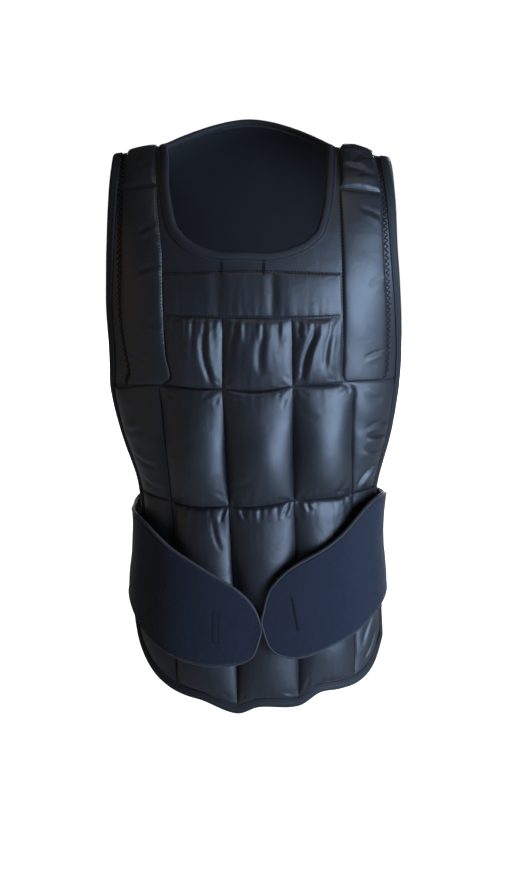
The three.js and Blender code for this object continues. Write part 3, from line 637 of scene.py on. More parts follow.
def addPocket(name, node, spec, place):
    face = spec["face"]
    middles = place(np.array([0.5, 0.5, 0.0, 1.0]), np.array([0.0, 1.0, 0.5, 0.5]))
    top, bottom, left, right = bodyPoint(*middles)
    tall = np.linalg.norm(bottom - top)
    wide = np.linalg.norm(right - left)
    step = fold["stepFront"] if face <= 0 else fold["stepBack"]
    columns = max(fold["leastCells"], round(wide / step))
    rows = max(fold["leastCells"], round(tall / step))
    mesh, u, v, order = newGrid(columns, rows)
    x, down, side = place(u, v)
    base = raised(x, down, side, vest["under"])
    normal = bodyNormal(x, down, side)
    seed = len(clothWork) + 1
    sag = 1 - spec.get("sag", 0) * (1 - ease(0, 0.72, v))
    bulge = rise(u, spec.get("roundAcross", 1.0)) * rise(v, spec.get("roundAlong", 0.75)) * sag
    for at, depth, width in spec.get("lobes", []):
        bulge = bulge * (1 - depth * np.exp(-(((u - at) / width) ** 2)))
    near = np.exp(-v * tall / fold["gatherReach"]) * spec["gatherTop"]
    near = near + np.exp(-(1 - v) * tall / fold["gatherReach"]) * spec["gatherBottom"]
    inside = rise(u, 0.6) * rise(v, 0.6)
    pleats = noiseAt(x, down * 0.22, fold["gatherWidth"], seed) * near * fold["gatherLift"] * inside
    slack = noiseAt(x, down, fold["slackWidth"], seed + 40) * spec.get("slack", 0.5) * inside
    lift = np.maximum(bulge * spec["crest"] * spec["start"] + pleats + slack, 0)
    start = base + normal * lift[:, None]

    # The cut is wider and longer than the place, most where it is gathered
    across, along = flatPattern(start, order, columns, rows)
    gather = 1 + spec["ease"] + near[np.argsort(order)].reshape(across.shape)
    pattern = patternRows(across * gather, along * (1 + spec["easeLong"]), order)
    layPattern(mesh, pattern)
    piece = makePiece(name, mesh, start, spec.get("flip", face > 0))
    edge = np.minimum.reduce([u, 1 - u, v, 1 - v]) < 1e-4
    swell = rise(u, spec.get("capAcross", 0.5)) * rise(v, 0.4)
    top = spec["crest"] * fold["overCrest"] * (fold["rimLift"] + (1 - fold["rimLift"]) * swell) * sag
    creases = spec.get("creases", []) + spec.get("own", {}).get(name, [])
    if "corners" in spec:
        creases = creases + cornerCreases(wide, tall, spec["corners"], seed)
    detail = creaseLift(u, v, wide, tall, creases)
    for key, away, step in (("pleatTop", v * tall, 11), ("pleatBottom", (1 - v) * tall, 23)):
        if key in spec:
            detail += spec[key] * pleatsFrom(x, away, seed + step)
    detail = detail * rise(u, 0.5) * rise(v, 0.25)
    work = {"piece": piece, "node": node, "spec": spec, "base": base, "normal": normal}
    work.update({"top": top, "edge": edge, "pattern": pattern, "detail": detail})
    clothWork.append(work)


def startCloth(work):
    piece = work["piece"]
    piece.shape_key_add(name="Basis")
    cut = piece.shape_key_add(name="cut")
    for point, (a, b) in zip(cut.data, work["pattern"] * mm):
        point.co = (a, b, 0)
    seam = piece.vertex_groups.new(name="seam")
    seam.add([int(i) for i in np.flatnonzero(work["edge"])], 1.0, "REPLACE")
    modifier = piece.modifiers.new("fill", "CLOTH")
    settings = modifier.settings
    for key, value in clothSettings.items():
        setattr(settings, key, value)
    settings.bending_stiffness = work["spec"].get("stiff", 0.25)
    settings.uniform_pressure_force = work["spec"].get("pressure", 4)
    settings.vertex_group_mass = "seam"
    settings.rest_shape_key = cut
    settings.effector_weights.gravity = 0
    modifier.collision_settings.use_collision = False
    modifier.collision_settings.use_self_collision = False
    modifier.point_cache.frame_start = 1
    modifier.point_cache.frame_end = fold["frames"]


# The filled cloth as a lift off its base and a drift along it, both kept within bounds
def boundedShape(work, points):
    away = points - work["base"]
    lift = np.einsum("ij,ij->i", away, work["normal"])
    drift = away - work["normal"] * lift[:, None]
    far = np.linalg.norm(drift, axis=1, keepdims=True)
    drift = drift * np.minimum(1, fold["drift"] / np.maximum(far, 1e-6))
    over = np.maximum(lift - work["top"], 0)
    lift = np.minimum(lift, work["top"]) + fold["softCap"] * (1 - np.exp(-over / fold["softCap"]))
    print(f"  {work['piece'].name}: lift up to {lift.max():.1f}, {np.mean(over > 0):.0%} capped")
    lift = np.where(work["edge"], 0, np.maximum(lift + work["detail"], fold["leastLift"]))
    return work["base"] + drift + work["normal"] * lift[:, None]


def fillCloth():
    scene = bpy.context.scene
    for work in clothWork:
        startCloth(work)
    for step in range(1, fold["frames"] + 1):
        scene.frame_set(step)
    depsgraph = bpy.context.evaluated_depsgraph_get()
    for work in clothWork:
        piece = work["piece"]
        shaped = piece.evaluated_get(depsgraph).data
        points = np.zeros(len(shaped.vertices) * 3)
        shaped.vertices.foreach_get("co", points)
        piece.modifiers.clear()
        piece.shape_key_clear()
        piece.vertex_groups.clear()
        points = boundedShape(work, points.reshape(-1, 3) * perMetre)
        piece.data.vertices.foreach_set("co", (points * mm).ravel())
        piece.data.update()
        soften(piece)
        finishPiece(piece, "nylon", satin, work["node"])
    scene.frame_set(1)


# The place of a pocket between two long seams and two levels, drawn in where tape covers its edge
def between(face, seams, levels, left=0.5, right=0.5, top=0.5, bottom=0.5):
    def place(u, v):
        high = levelDepth(face, levels[0], u, *seams) + top
        low = levelDepth(face, levels[1], u, *seams) - bottom
        down = high + v * (low - high)
        start = acrossCloth(seamAt(face, seams[0], down), down, face, left)
        stop = acrossCloth(seamAt(face, seams[1], down), down, face, -right)
        return start + u * (stop - start), down, np.full(np.shape(u), face)

    return place


columnSeams = {
    "Left": ("outerL", "innerL"), "Centre": ("innerL", "innerR"), "Right": ("innerR", "outerR"),
}
taped = vest["tape"] + 0.7
rows = {
    "Upper": {
        "levels": ("gathers", "chest"), "crest": 10.5, "start": 0.66, "sag": 0.12,
        "roundAcross": 1.4, "capAcross": 0.9, "gatherTop": 0.5, "gatherBottom": 0.12,
        "pleatTop": 2.6, "pleatBottom": 0.8, "corners": 1.2, "ease": 0.03, "easeLong": 0.02,
        "slack": 0.8, "roundAlong": 0.6,
        "own": {
            "frontUpperPocketLeft": [(0.7, 0.0, 0.84, 1.0, 3.0, 3.2), (0.3, 0.02, 0.36, 0.6, 1.0, 2.6)],
            "frontUpperPocketCentre": [(0.62, 0.0, 0.55, 0.75, 1.6, 4.0), (0.2, 0.0, 0.14, 0.5, 1.0, 2.4)],
            "frontUpperPocketRight": [(0.5, 0.0, 0.16, 1.0, 2.8, 3.2), (0.8, 0.0, 0.62, 0.8, 1.6, 3.0)],
        },
        "fill": 0.5,
    },
    "Middle": {
        "levels": ("chest", "waist"), "crest": 20, "start": 0.86, "sag": 0.42, "roundAcross": 1.5,
        "capAcross": 0.95, "gatherTop": 0.1, "gatherBottom": 0.25, "pleatTop": 0.7,
        "pleatBottom": 1.5, "corners": 1.7, "slack": 0.9, "ease": 0.025, "easeLong": 0.02,
        "own": {
            "frontMiddlePocketLeft": [(0.1, 0.55, 0.45, 0.42, 0.7, 4.0)],
            "frontMiddlePocketCentre": [(0.08, 0.8, 0.4, 0.72, 0.7, 3.5)],
            "frontMiddlePocketRight": [(0.55, 0.98, 0.95, 0.74, 1.2, 3.5), (0.1, 0.2, 0.4, 0.26, 0.6, 4.0)],
        },
        "fill": 0.9,
    },
    "Lower": {
        "levels": ("waist", "hem"), "crest": 16.5, "start": 0.84, "sag": 0.1, "roundAcross": 1.4,
        "capAcross": 0.9, "gatherTop": 0.5, "gatherBottom": 0.08, "pleatTop": 3.0,
        "pleatBottom": 1.0, "corners": 1.6, "slack": 0.8, "ease": 0.025, "easeLong": 0.02,
        "own": {
            "frontLowerPocketLeft": [(0.95, 0.0, 0.86, 0.07, 2.6, 1.9), (0.74, 0.04, 0.86, 0.22, 1.8, 2.4)],
            "frontLowerPocketCentre": [
                (0.06, 0.0, 0.17, 0.07, 3.0, 1.8),
                (0.2, 0.0, 0.26, 0.06, 2.4, 1.7),
                (0.94, 0.0, 0.83, 0.07, 2.8, 1.9),
            ],
            "frontLowerPocketRight": [(0.05, 0.0, 0.15, 0.06, 3.0, 1.9), (0.2, 0.0, 0.25, 0.05, 2.2, 1.7)],
        },
        "fill": 0.8,
    },
}
def addColumns(end, face, row, spec):
    for column, seams in columnSeams.items():
        place = between(face, seams, spec["levels"], bottom=taped if row == "Lower" else 0.5)
        node = f"{end}_{row.lower()}_pocket_{column.lower()}"
        addPocket(f"{end}{row}Pocket{column}", node, {"face": face, **spec}, place)


for row, spec in rows.items():
    addColumns("front", -1, row, spec)

chestBand = {
    "face": -1, "crest": 3.4, "start": 0.8, "gatherTop": 0.03, "gatherBottom": 0.1, "ease": 0.012,
    "easeLong": 0.01, "roundAcross": 0.5, "roundAlong": 0.6, "pleatBottom": 0.9,
    "lobes": [(0.31, 0.5, 0.035), (0.615, 0.6, 0.03)],
    "stiff": 0.6, "pressure": 2.5, "fill": 0.4,
}
addPocket("chestBand", "chest_band", chestBand, between(-1, ("outerL", "outerR"), ("band", "gathers")))

sidePocket = {
    "face": -1, "crest": 6, "start": 0.55, "gatherTop": 0.05, "gatherBottom": 0.05, "ease": 0.01,
    "easeLong": 0.035, "slack": 1.6, "fill": 0.3, "pressure": 2.5,
    "own": {
        "sidePocketRightUpper": [
            (1.0, 0.36, 0.3, 0.4, 1.5, 3.0),
            (0.98, 0.5, 0.35, 0.47, 2.4, 3.0),
            (0.95, 0.66, 0.25, 0.58, 1.8, 3.4),
            (0.9, 0.74, 0.1, 0.95, 2.6, 3.6),
            (0.2, 0.1, 0.7, 0.16, 0.9, 3.0),
        ],
        "sidePocketLeftUpper": [
            (0.05, 0.4, 0.6, 0.36, 1.2, 3.4),
            (0.1, 0.62, 0.75, 0.7, 1.4, 3.4),
            (0.2, 0.85, 0.8, 0.9, 1.2, 3.0),
        ],
        "sidePocketRightLower": [(0.9, 0.7, 0.2, 0.86, 1.4, 3.2), (0.85, 0.88, 0.3, 0.95, 1.2, 2.6)],
        "sidePocketLeftLower": [(0.1, 0.7, 0.8, 0.82, 1.3, 3.2)],
    },
}
sideRows = [("upper", ("chest", "waist"), 0.5), ("lower", ("waist", "hem"), taped)]
for side, seams in [("left", ("edgeL", "outerL")), ("right", ("outerR", "edgeR"))]:
    for row, levels, bottom in sideRows:
        place = between(-1, seams, levels, bottom=bottom, **{side: taped})
        name = f"sidePocket{side.title()}{row.title()}"
        addPocket(name, f"side_pocket_{side}_{row}", sidePocket, place)

strapPocket = {
    "face": -1, "crest": 4.4, "start": 0.7, "gatherTop": 0.02, "gatherBottom": 0.03, "ease": 0.01,
    "easeLong": 0.012, "slack": 0.8, "roundAcross": 0.7, "roundAlong": 0.4, "pressure": 2.5,
    "fill": 0.4,
    "own": {
        "strapPocketLeft": [
            (1.0, 0.2, 0.45, 0.23, 1.4, 2.4),
            (1.0, 0.27, 0.6, 0.26, 0.9, 2.0),
            (1.0, 0.38, 0.4, 0.4, 1.5, 2.4),
            (0.98, 0.62, 0.5, 0.6, 0.9, 2.6),
            (0.1, 0.78, 0.6, 0.84, 0.9, 3.0),
        ],
        "strapPocketRight": [
            (0.98, 0.14, 0.4, 0.1, 1.0, 2.6),
            (0.95, 0.42, 0.55, 0.46, 0.8, 3.0),
            (0.95, 0.8, 0.45, 0.84, 1.2, 3.0),
        ],
    },
}
for side, seams in [("left", ("strapL", "outerL")), ("right", ("outerR", "strapR"))]:
    place = between(-1, seams, ("tab", "chest"), top=1.0)
    addPocket(f"strapPocket{side.title()}", f"strap_pocket_{side}", strapPocket, place)

backPocket = {
    "crest": 14, "start": 0.8, "sag": 0.3, "roundAcross": 1.4, "capAcross": 0.9, "gatherTop": 0.16,
    "gatherBottom": 0.12, "ease": 0.02, "easeLong": 0.02, "pleatTop": 1.4, "pleatBottom": 1.0,
    "corners": 1.6, "fill": 0.8,
}
backRows = {"Upper": ("band", "chest"), "Middle": ("chest", "waist"), "Lower": ("waist", "hem")}
for row, levels in backRows.items():
    addColumns("back", 1, row, {**backPocket, "levels": levels})

# Shoulder tabs lie over the ridge, from the back to the front
tab = {
    "face": 0, "flip": False, "gatherTop": 0.05, "gatherBottom": 0.12, "ease": 0.03,
    "easeLong": 0.05, "roundAcross": 0.6, "roundAlong": 0.35, "margin": 0.8,
}
tabs = {
    "left": {
        "seams": ("strapL", "outerL"), "crest": 4, "start": 0.7, "slack": 0.4, "pressure": 2.5,
        "fill": 0.3,
        "creases": [(0.95, 0.66, 0.4, 0.69, 0.6, 2.4), (0.9, 0.8, 0.5, 0.82, 0.6, 2.2)],
    },
    "right": {
        "seams": ("outerR", "strapR"), "crest": 10, "start": 0.62, "slack": 2.2, "pressure": 3,
        "fill": 0.5,
        "creases": [
            (0.05, 0.6, 0.75, 0.64, 2.4, 2.4),
            (0.95, 0.66, 0.3, 0.74, 2.8, 2.4),
            (0.1, 0.8, 0.7, 0.83, 2.8, 2.3),
            (0.9, 0.86, 0.35, 0.9, 2.4, 2.2),
            (0.2, 0.52, 0.9, 0.55, 1.6, 2.6),
            (0.1, 0.36, 0.8, 0.42, 1.6, 3.0),
            (0.9, 0.2, 0.2, 0.26, 1.6, 3.0),
        ],
    },
}


def overRidge(seams):
    def place(u, v):
        reach = (2 * v - 1) * (vest["tabReach"] - 1)
        side = np.where(reach < 0, 1, -1)
        down = np.maximum(np.abs(reach), vest["ridge"])
        start = acrossCloth(seamAt(side, seams[0], down), down, side, tab["margin"])
        stop = acrossCloth(seamAt(side, seams[1], down), down, side, -tab["margin"])
        return start + u * (stop - start), down, side

    return place


for side, spec in tabs.items():
    place = overRidge(spec["seams"])
    addPocket(f"shoulderTab{side.title()}", f"shoulder_tab_{side}", {**tab, **spec}, place)
print("stage: pockets laid out")
fillCloth()
print("stage: pockets filled")


# Panels: one sheet from edge to edge, nylon outside and lining inside
panel = {
    "columns": [2, 5, 12, 14, 12, 5, 2],  # grid cells from each long seam to the next
    "levels": ["ridge", "neck", "band", "gathers", "chest", "waist", "hem"],
    "rows": [20, 3, 6, 12, 22, 36],  # grid cells from each level to the next
    "neckColumn": 3, "ripple": 0.5, "rippleWidth": 30, "rippleCap": 0.3, "below": 0.15,
}


# Which cell a grid line starts or lies in, and the share of the way across that cell
def cellOf(line, counts):
    starts = np.cumsum([0] + counts)
    cell = np.clip(np.searchsorted(starts, line, side="right") - 1, 0, len(counts) - 1)
    return cell, (line - starts[cell]) / np.array(counts)[cell]


# The faces between the two inner seams, down to the neckline
def neckFaces(mesh, columnLine, rowLine):
    left = sum(panel["columns"][: panel["neckColumn"]])
    right = left + panel["columns"][panel["neckColumn"]]
    found = []
    for quad in mesh.faces:
        across = np.mean([columnLine[v.index] for v in quad.verts])
        down = np.mean([rowLine[v.index] for v in quad.verts])
        if left < across < right and down < panel["rows"][0]:
            found.append(quad)
    return found


def addPanel(name, node, face, openNeck):
    columns, rows = sum(panel["columns"]), sum(panel["rows"])
    mesh, u, v, order = newGrid(columns, rows)
    columnLine = np.round(u * columns).astype(int)
    rowLine = np.round(v * rows).astype(int)
    column, acrossCell = cellOf(columnLine, panel["columns"])
    row, downCell = cellOf(rowLine, panel["rows"])
    index = np.arange(len(u))

    def xAt(down):
        seams = np.stack([seamAt(face, label, down) for label in seamNames])
        return seams[column, index] * (1 - acrossCell) + seams[column + 1, index] * acrossCell

    depths = np.stack([levelAlong(face, label, u, xAt) for label in panel["levels"]])
    down = depths[row, index] * (1 - downCell) + depths[row + 1, index] * downCell
    x = xAt(down)
    ripple = noiseAt(x, down, panel["rippleWidth"], 7 + face) * panel["ripple"]
    lift = vest["panel"] - panel["below"] + np.minimum(ripple, panel["rippleCap"])
    points = raised(x, down, face, lift)
    layPattern(mesh, patternRows(*flatPattern(points, order, columns, rows), order))
    if openNeck:
        moveTo(mesh, points)
        bmesh.ops.delete(mesh, geom=neckFaces(mesh, columnLine, rowLine), context="FACES")
        points = pointsOf(mesh)
    piece = makePiece(name, mesh, points, face > 0)
    soften(piece)
    thicken(piece, vest["panel"] - 0.2, insideSlot=1)
    finishPiece(piece, "nylon", satin, node)
    piece.data.materials.append(lining)


addPanel("frontPanel", "front_panel", -1, True)
addPanel("backPanel", "back_panel", 1, False)
print("stage: panels")

# Folded tape: how far in from the edge and how high above the body each line of its section lies
tape = {
    "section": [
        (9.0, 3.3),
        (8.5, 4.3),
        (7.2, 4.5),
        (6.4, 4.25),
        (5.4, 4.65),
        (2.6, 4.95),
        (0.2, 4.7),
        (-1.2, 3.6),
        (-1.6, 1.6),
        (-1.1, -0.3),
        (0.3, -1.3),
        (4.0, -1.5),
        (8.4, -1.2),
        (9.0, -0.2),
    ],
    "spacing": 4.6, "stitchIn": 6.4, "cutWidth": 0.032, "thickness": 0.7,
    "least": 0.1,  # no line of the tape lies nearer to the ridge than this
    "stitchHeight": 4.6,
    "neckFloor": 16,  # how near the bottom of the neckline its corners are smoothed
}


# Evenly spaced places along runs of (x, down, face) that follow each other
def evenly(runs, spacing):
    pieces = []
    for x, down, face in runs:
        face = np.full(len(x), face)
        length = lengthAlong(bodyPoint(x, down, face))
        count = max(2, round(length[-1] / spacing))
        marks = np.linspace(0, length[-1], count + 1)[:-1]
        pieces.append((np.interp(marks, length, x), np.interp(marks, length, down), face[:count]))
    return [np.concatenate(parts) for parts in zip(*pieces)]


# The direction into the cloth from a closed edge, as a step of x and down for each millimetre
def inwardSteps(x, down, face):
    points = bodyPoint(x, down, face)
    along = unit(np.roll(points, -1, axis=0) - np.roll(points, 1, axis=0))
    inward = unit(np.cross(bodyNormal(x, down, face), along))
    e, g = bodySlopes(x, down, face)

    def dot(a, b):
        return np.einsum("ij,ij->i", a, b)

    ee, eg, gg = dot(e, e), dot(e, g), dot(g, g)
    ei, gi = dot(e, inward), dot(g, inward)
    det = ee * gg - eg * eg
    return (gg * ei - eg * gi) / det, (ee * gi - eg * ei) / det, inward


def smoothLoop(values, times):
    for _ in range(times):
        values = (np.roll(values, 1) + 2 * values + np.roll(values, -1)) / 4
    return values


def addTape(name, node, runs, seed, smoothed=0):
    x, down, face = evenly(runs, tape["spacing"])
    low = (face < 0) & (np.abs(down - vest["neckDepth"]) < smoothed)
    x = np.where(low, smoothLoop(x, 8), x)
    down = np.where(low, smoothLoop(down, 8), down)
    dx, dd, inward = inwardSteps(x, down, face)
    dx, dd = smoothLoop(dx, 2), smoothLoop(dd, 2)
    count = len(x)
    lines = tape["section"]
    turn = np.arange(count) / count * 2 * np.pi
    wave = noiseAt(np.cos(turn) * 90, np.sin(turn) * 90, 6, seed) * 0.5
    rings = []
    for inset, height in lines:
        reach = max(inset, 0) * (1 + 0.03 * wave)
        lift = height + wave * (0.7 if inset < 0 else 0.35)
        base = raised(x + dx * reach, np.maximum(down + dd * reach, tape["least"]), face, lift)
        rings.append(base + inward * min(inset, 0))
    rings = np.stack(rings)
    mesh, u, v, _ = newGrid(len(lines) - 1, count)
    line = np.round(u * (len(lines) - 1)).astype(int)
    ring = np.round(v * count).astype(int)
    along = lengthAlong(closedLoop(rings[5]))[ring]
    layPattern(mesh, np.stack([line * 2.0, along], axis=-1))
    points = closeGrid(mesh, rings[line, ring % count])
    piece = makePiece(name, mesh, points, True)
    soften(piece)
    thicken(piece, tape["thickness"])
    finishPiece(piece, "binding", ribbed, node)
    return x, down, face, dx, dd


def sideRun(face, seam, upward):
    low = levelDepth(face, "hem", np.array([0.0 if seam == "edgeL" else 1.0]), "edgeL", "edgeR")[0]
    down = np.linspace(vest["ridge"], low, 400)
    if upward:
        down = down[::-1]
    return seamAt(face, seam, down), down, face


def hemRun(face, leftward):
    u = np.linspace(0, 1, 500)
    if leftward:
        u = u[::-1]
    down = levelDepth(face, "hem", u, "edgeL", "edgeR")
    return seamAt(face, "edgeL", down) * (1 - u) + seamAt(face, "edgeR", down) * u, down, face


outerRuns = [sideRun(-1, "edgeL", False), hemRun(-1, False), sideRun(-1, "edgeR", True)]
outerRuns += [sideRun(1, "edgeR", False), hemRun(1, True), sideRun(1, "edgeL", True)]
outerTape = addTape("edgeBinding", "edge_binding", outerRuns, 3)

neckDown = np.linspace(vest["ridge"], vest["neckDepth"], 300)
neckFloor = np.linspace(0, 1, 60)
leftCorner = seamAt(-1, "innerL", vest["neckDepth"])
rightCorner = seamAt(-1, "innerR", vest["neckDepth"])
napeX = np.linspace(seamAt(-1, "innerL", 0), seamAt(-1, "innerR", 0), 200)
neckRuns = [
    (seamAt(-1, "innerR", neckDown), neckDown, -1),
    (rightCorner + (leftCorner - rightCorner) * neckFloor, np.full(60, float(vest["neckDepth"])), -1),
    (seamAt(-1, "innerL", neckDown[::-1]), neckDown[::-1], -1),
    (napeX, np.full(200, vest["ridge"]), 1),
]
neckTape = addTape("neckBinding", "neck_binding", neckRuns, 9, tape["neckFloor"])
print("stage: tapes")

# Belt wings: outlines from tip to root by the angle round the body, and edges as shares of the length
wings = {
    "thickness": 3.6,
    "clearance": 6.95,  # above the body beside the pockets
    "overPockets": 21.9, "rim": 2.8, "columns": 72, "rows": 20, "ripple": 0.8,
    "tipPower": 1.7,  # packs the columns towards the tip
    "tipRound": 0.9,
    "average": 6,  # degrees over which the edges are averaged, away from the tip
    "flat": (0.33, 0.15),
}
leftWing = [
    (2, 0.802, 0.84),
    (-0.5, 0.781, 0.868),
    (-4, 0.764, 0.882),
    (-12, 0.739, 0.892),
    (-22, 0.72, 0.8955),
    (-33, 0.699, 0.894),
    (-44, 0.678, 0.884),
    (-52, 0.66, 0.872),
    (-60, 0.649, 0.856),
    (-68, 0.645, 0.836),
    (-76, 0.648, 0.822),
    (-84, 0.655, 0.815),
    (-94, 0.66, 0.812),
    (-105, 0.66, 0.81),
    (-116, 0.657, 0.809),
    (-125, 0.655, 0.808),
]
rightWing = [
    (5.4, 0.786, 0.825),
    (7.8, 0.752, 0.852),
    (12, 0.727, 0.869),
    (20, 0.7, 0.88),
    (28, 0.686, 0.875),
    (36, 0.672, 0.865),
    (44, 0.651, 0.855),
    (52, 0.622, 0.846),
    (60, 0.602, 0.834),
    (68, 0.6, 0.818),
    (76, 0.61, 0.81),
    (84, 0.624, 0.808),
    (94, 0.637, 0.807),
    (105, 0.646, 0.807),
    (116, 0.652, 0.808),
    (125, 0.655, 0.808),
]
# angle round the body, share of the way from beside the pockets to over them
wingLift = [(0, 1), (44, 1), (52, 0.84), (60, 0.6), (68, 0.42), (74, 0.26), (80, 0.09)]
wingLift += [(84, -0.02), (90, -0.11), (97, -0.03), (104, 0.12), (110, 0.1), (116, -0.04), (125, -0.18)]


# Angle round, depth down and height above the body at t from tip to root and f from top to bottom
def wingPlace(outline, t, f):
    sign = 1 if outline[-1][0] > outline[0][0] else -1
    table = [(sign * row[0], row[1], row[2]) for row in outline]
    tip, root = table[0][0], table[-1][0]
    turn = tip + (root - tip) * t ** wings["tipPower"]
    turn = turn - wings["tipRound"] * rise(f, 1.6) * (1 - ease(0, 0.06, t))
    spread = wings["average"] * ease(0.0, 14, turn - tip)

    def edgeAt(column):
        return sum(readTable(table, column, turn + spread * k) for k in (-1, -0.5, 0, 0.5, 1)) / 5

    top, bottom = edgeAt(1), edgeAt(2)
    down = vest["length"] * (top + f * (bottom - top)) + (1 - 2 * f) * wings["rim"]
    over = readTable(wingLift, 1, np.abs(turn))
    height = wings["clearance"] + over * (wings["overPockets"] - wings["clearance"])
    return sign * turn, down, height


def wingPoint(outline, t, f, lift):
    turn, down, height = wingPlace(outline, t, f)
    wave = noiseAt(turn * 1.6, down, 28, 5 + outline[0][0]) * wings["ripple"]
    height = height + wave + wings["thickness"] + lift
    normal = aroundNormal(turn, down)
    return bodyAround(turn, down) + normal * height[:, None], normal


piping = {
    "halfWidth": 1.7, "halfHeight": 2.45, "out": 1.3, "sides": 8, "spacing": 3.5,
    "longPoints": 90, "shortPoints": 24,
}


def addWing(side, outline):
    mesh, u, v, order = newGrid(wings["columns"], wings["rows"])
    points, _ = wingPoint(outline, u, v, 0)
    pattern = flatPattern(points, order, wings["columns"], wings["rows"])
    layPattern(mesh, patternRows(*pattern, order))
    piece = makePiece(f"beltWing{side.title()}", mesh, points, side == "left")
    soften(piece)
    thicken(piece, wings["thickness"])
    finishPiece(piece, "belt_cloth", brushed, f"belt_wing_{side}")


# The piping's section, carried round the rim of a wing
def addPiping(side, outline):
    far = np.linspace(0, 1, piping["longPoints"])
    short = np.linspace(0, 1, piping["shortPoints"])
    t = np.concatenate([far[:-1], short[1:] * 0 + 1, far[:0:-1], short[1:] * 0])
    f = np.concatenate([far[1:] * 0, short[:-1], far[1:] * 0 + 1, short[:0:-1]])
    rim, normal = wingPoint(outline, t, f, -wings["thickness"] / 2)
    length = lengthAlong(closedLoop(rim))
    count = round(length[-1] / piping["spacing"])
    marks = np.linspace(0, length[-1], count + 1)[:-1]
    rim = pointsAt(marks, length, closedLoop(rim))
    normal = unit(pointsAt(marks, length, closedLoop(normal)))
    along = unit(np.roll(rim, -1, axis=0) - np.roll(rim, 1, axis=0))
    outward = unit(np.cross(along, normal))
    if np.mean(np.einsum("ij,ij->i", outward, rim - rim.mean(axis=0))) < 0:
        outward = -outward
    mesh, u, v, _ = newGrid(piping["sides"], count)
    angle = u * 2 * np.pi
    ring = np.round(v * count).astype(int) % count
    centre = rim + outward * piping["out"]
    points = centre[ring] + outward[ring] * (np.cos(angle) * piping["halfWidth"])[:, None]
    points = points + normal[ring] * (np.sin(angle) * piping["halfHeight"])[:, None]
    layPattern(mesh, np.stack([u * 14, v * length[-1]], axis=-1))
    points = closeGrid(mesh, points)
    bmesh.ops.recalc_face_normals(mesh, faces=mesh.faces[:])
    cord = makePiece(f"wingPiping{side.title()}", mesh, points)
    soften(cord)
    finishPiece(cord, "piping", pipingCloth, f"wing_piping_{side}")


for side, outline in (("left", leftWing), ("right", rightWing)):
    addWing(side, outline)
    addPiping(side, outline)
print("stage: belt wings")

# Stitches
thread = {
    "color": (0.006, 0.0035, 0.003), "roughness": 0.75, "gloss": 0.2, "twist": 900,
    "length": 2.5, "radius": 0.44, "pitch": 3.5, "sway": 0.05, "lean": 0.0,
    "above": 40, "reach": 60,  # where a stitch is dropped from, and how far
    "seat": 0.12,
}
stitchMesh = bmesh.new()


def buildThread():
    material, tree, shader = newMaterial("polyesterThread", thread["color"], thread["roughness"])
    place = tree.nodes.new("ShaderNodeTexCoord").outputs["Object"]
    spin = addNode(tree, "ShaderNodeTexWave", {"Scale": thread["twist"], "Vector": place})
    spin.wave_type = "BANDS"
    bump = addNode(tree, "ShaderNodeBump", {"Distance": 0.0001, "Height": spin.outputs["Fac"]})
    feed(tree, shader, {"Specular IOR Level": thread["gloss"], "Normal": bump.outputs["Normal"]})
    return material


# One stitch, copied and turned for each place
def makeStitch():
    mesh = bmesh.new()
    bmesh.ops.create_uvsphere(mesh, u_segments=6, v_segments=4, radius=1)
    bmesh.ops.rotate(mesh, verts=mesh.verts[:], matrix=Matrix.Rotation(math.radians(90), 3, "Y"))
    for f in mesh.faces:
        f.smooth = True
    return toData("stitch", mesh)


def addStitch(centre, along, up, length, radius):
    along = Vector(along).normalized()
    up = Vector(up)
    up = (up - along * up.dot(along)).normalized()
    size = Matrix.Diagonal((length / 2, radius, radius * 0.8, 1))
    turn = Matrix((along, up.cross(along), up)).transposed().to_4x4()
    place = Matrix.Translation(Vector(centre)) @ turn @ size
    oneStitch.transform(place)
    stitchMesh.from_mesh(oneStitch)
    oneStitch.transform(place.inverted())


oneStitch = makeStitch()


# What the stitches lie on
def surfaceOf(names):
    depsgraph = bpy.context.evaluated_depsgraph_get()
    vertices = []
    faces = []
    for name in names:
        shaped = bpy.data.objects[name].evaluated_get(depsgraph).to_mesh()
        offset = len(vertices)
        vertices += [v.co * perMetre for v in shaped.vertices]
        faces += [[i + offset for i in p.vertices] for p in shaped.polygons]
    return BVHTree.FromPolygons(vertices, faces)


vestPieces = [work["piece"].name for work in clothWork]
clothSurface = surfaceOf(vestPieces + ["frontPanel", "backPanel", "edgeBinding", "neckBinding"])
wingSurface = surfaceOf(["beltWingLeft", "beltWingRight"])


# A row of stitches along a line of points and their normals, dropped on to the cloth below
def sew(line, look=None, onto=clothSurface):
    points, normals = line
    use = {**thread, **(look or {})}
    total = lengthAlong(points)
    marks = np.arange(use["pitch"] / 2, total[-1], use["pitch"])
    place = pointsAt(marks, total, points)
    up = unit(pointsAt(marks, total, normals))
    along = unit(pointsAt(marks + 0.5, total, points) - pointsAt(marks - 0.5, total, points))
    across = np.cross(up, along)
    for i in range(len(marks)):
        start = Vector(place[i] + up[i] * use["above"])
        hit, normal, _, _ = onto.ray_cast(start, Vector(-up[i]), use["reach"])
        if hit is None:
            continue
        lean = use["lean"] * (1 if i % 2 else -1) + use["sway"] * math.sin(i * 12.9898)
        way = along[i] + across[i] * lean
        tilt = (normal + Vector(up[i])).normalized()
        addStitch(hit + normal * use["seat"], way, tilt, use["length"], use["radius"])


def raisedLine(x, down, face, height):
    return raised(x, down, face, height), bodyNormal(x, down, face)


def seamLine(face, seam, top, bottom, offset=0.0, count=80):
    down = np.linspace(top, bottom, count)
    x = acrossCloth(seamAt(face, seam, down), down, face, offset)
    return raisedLine(x, down, np.full(count, face), needle)


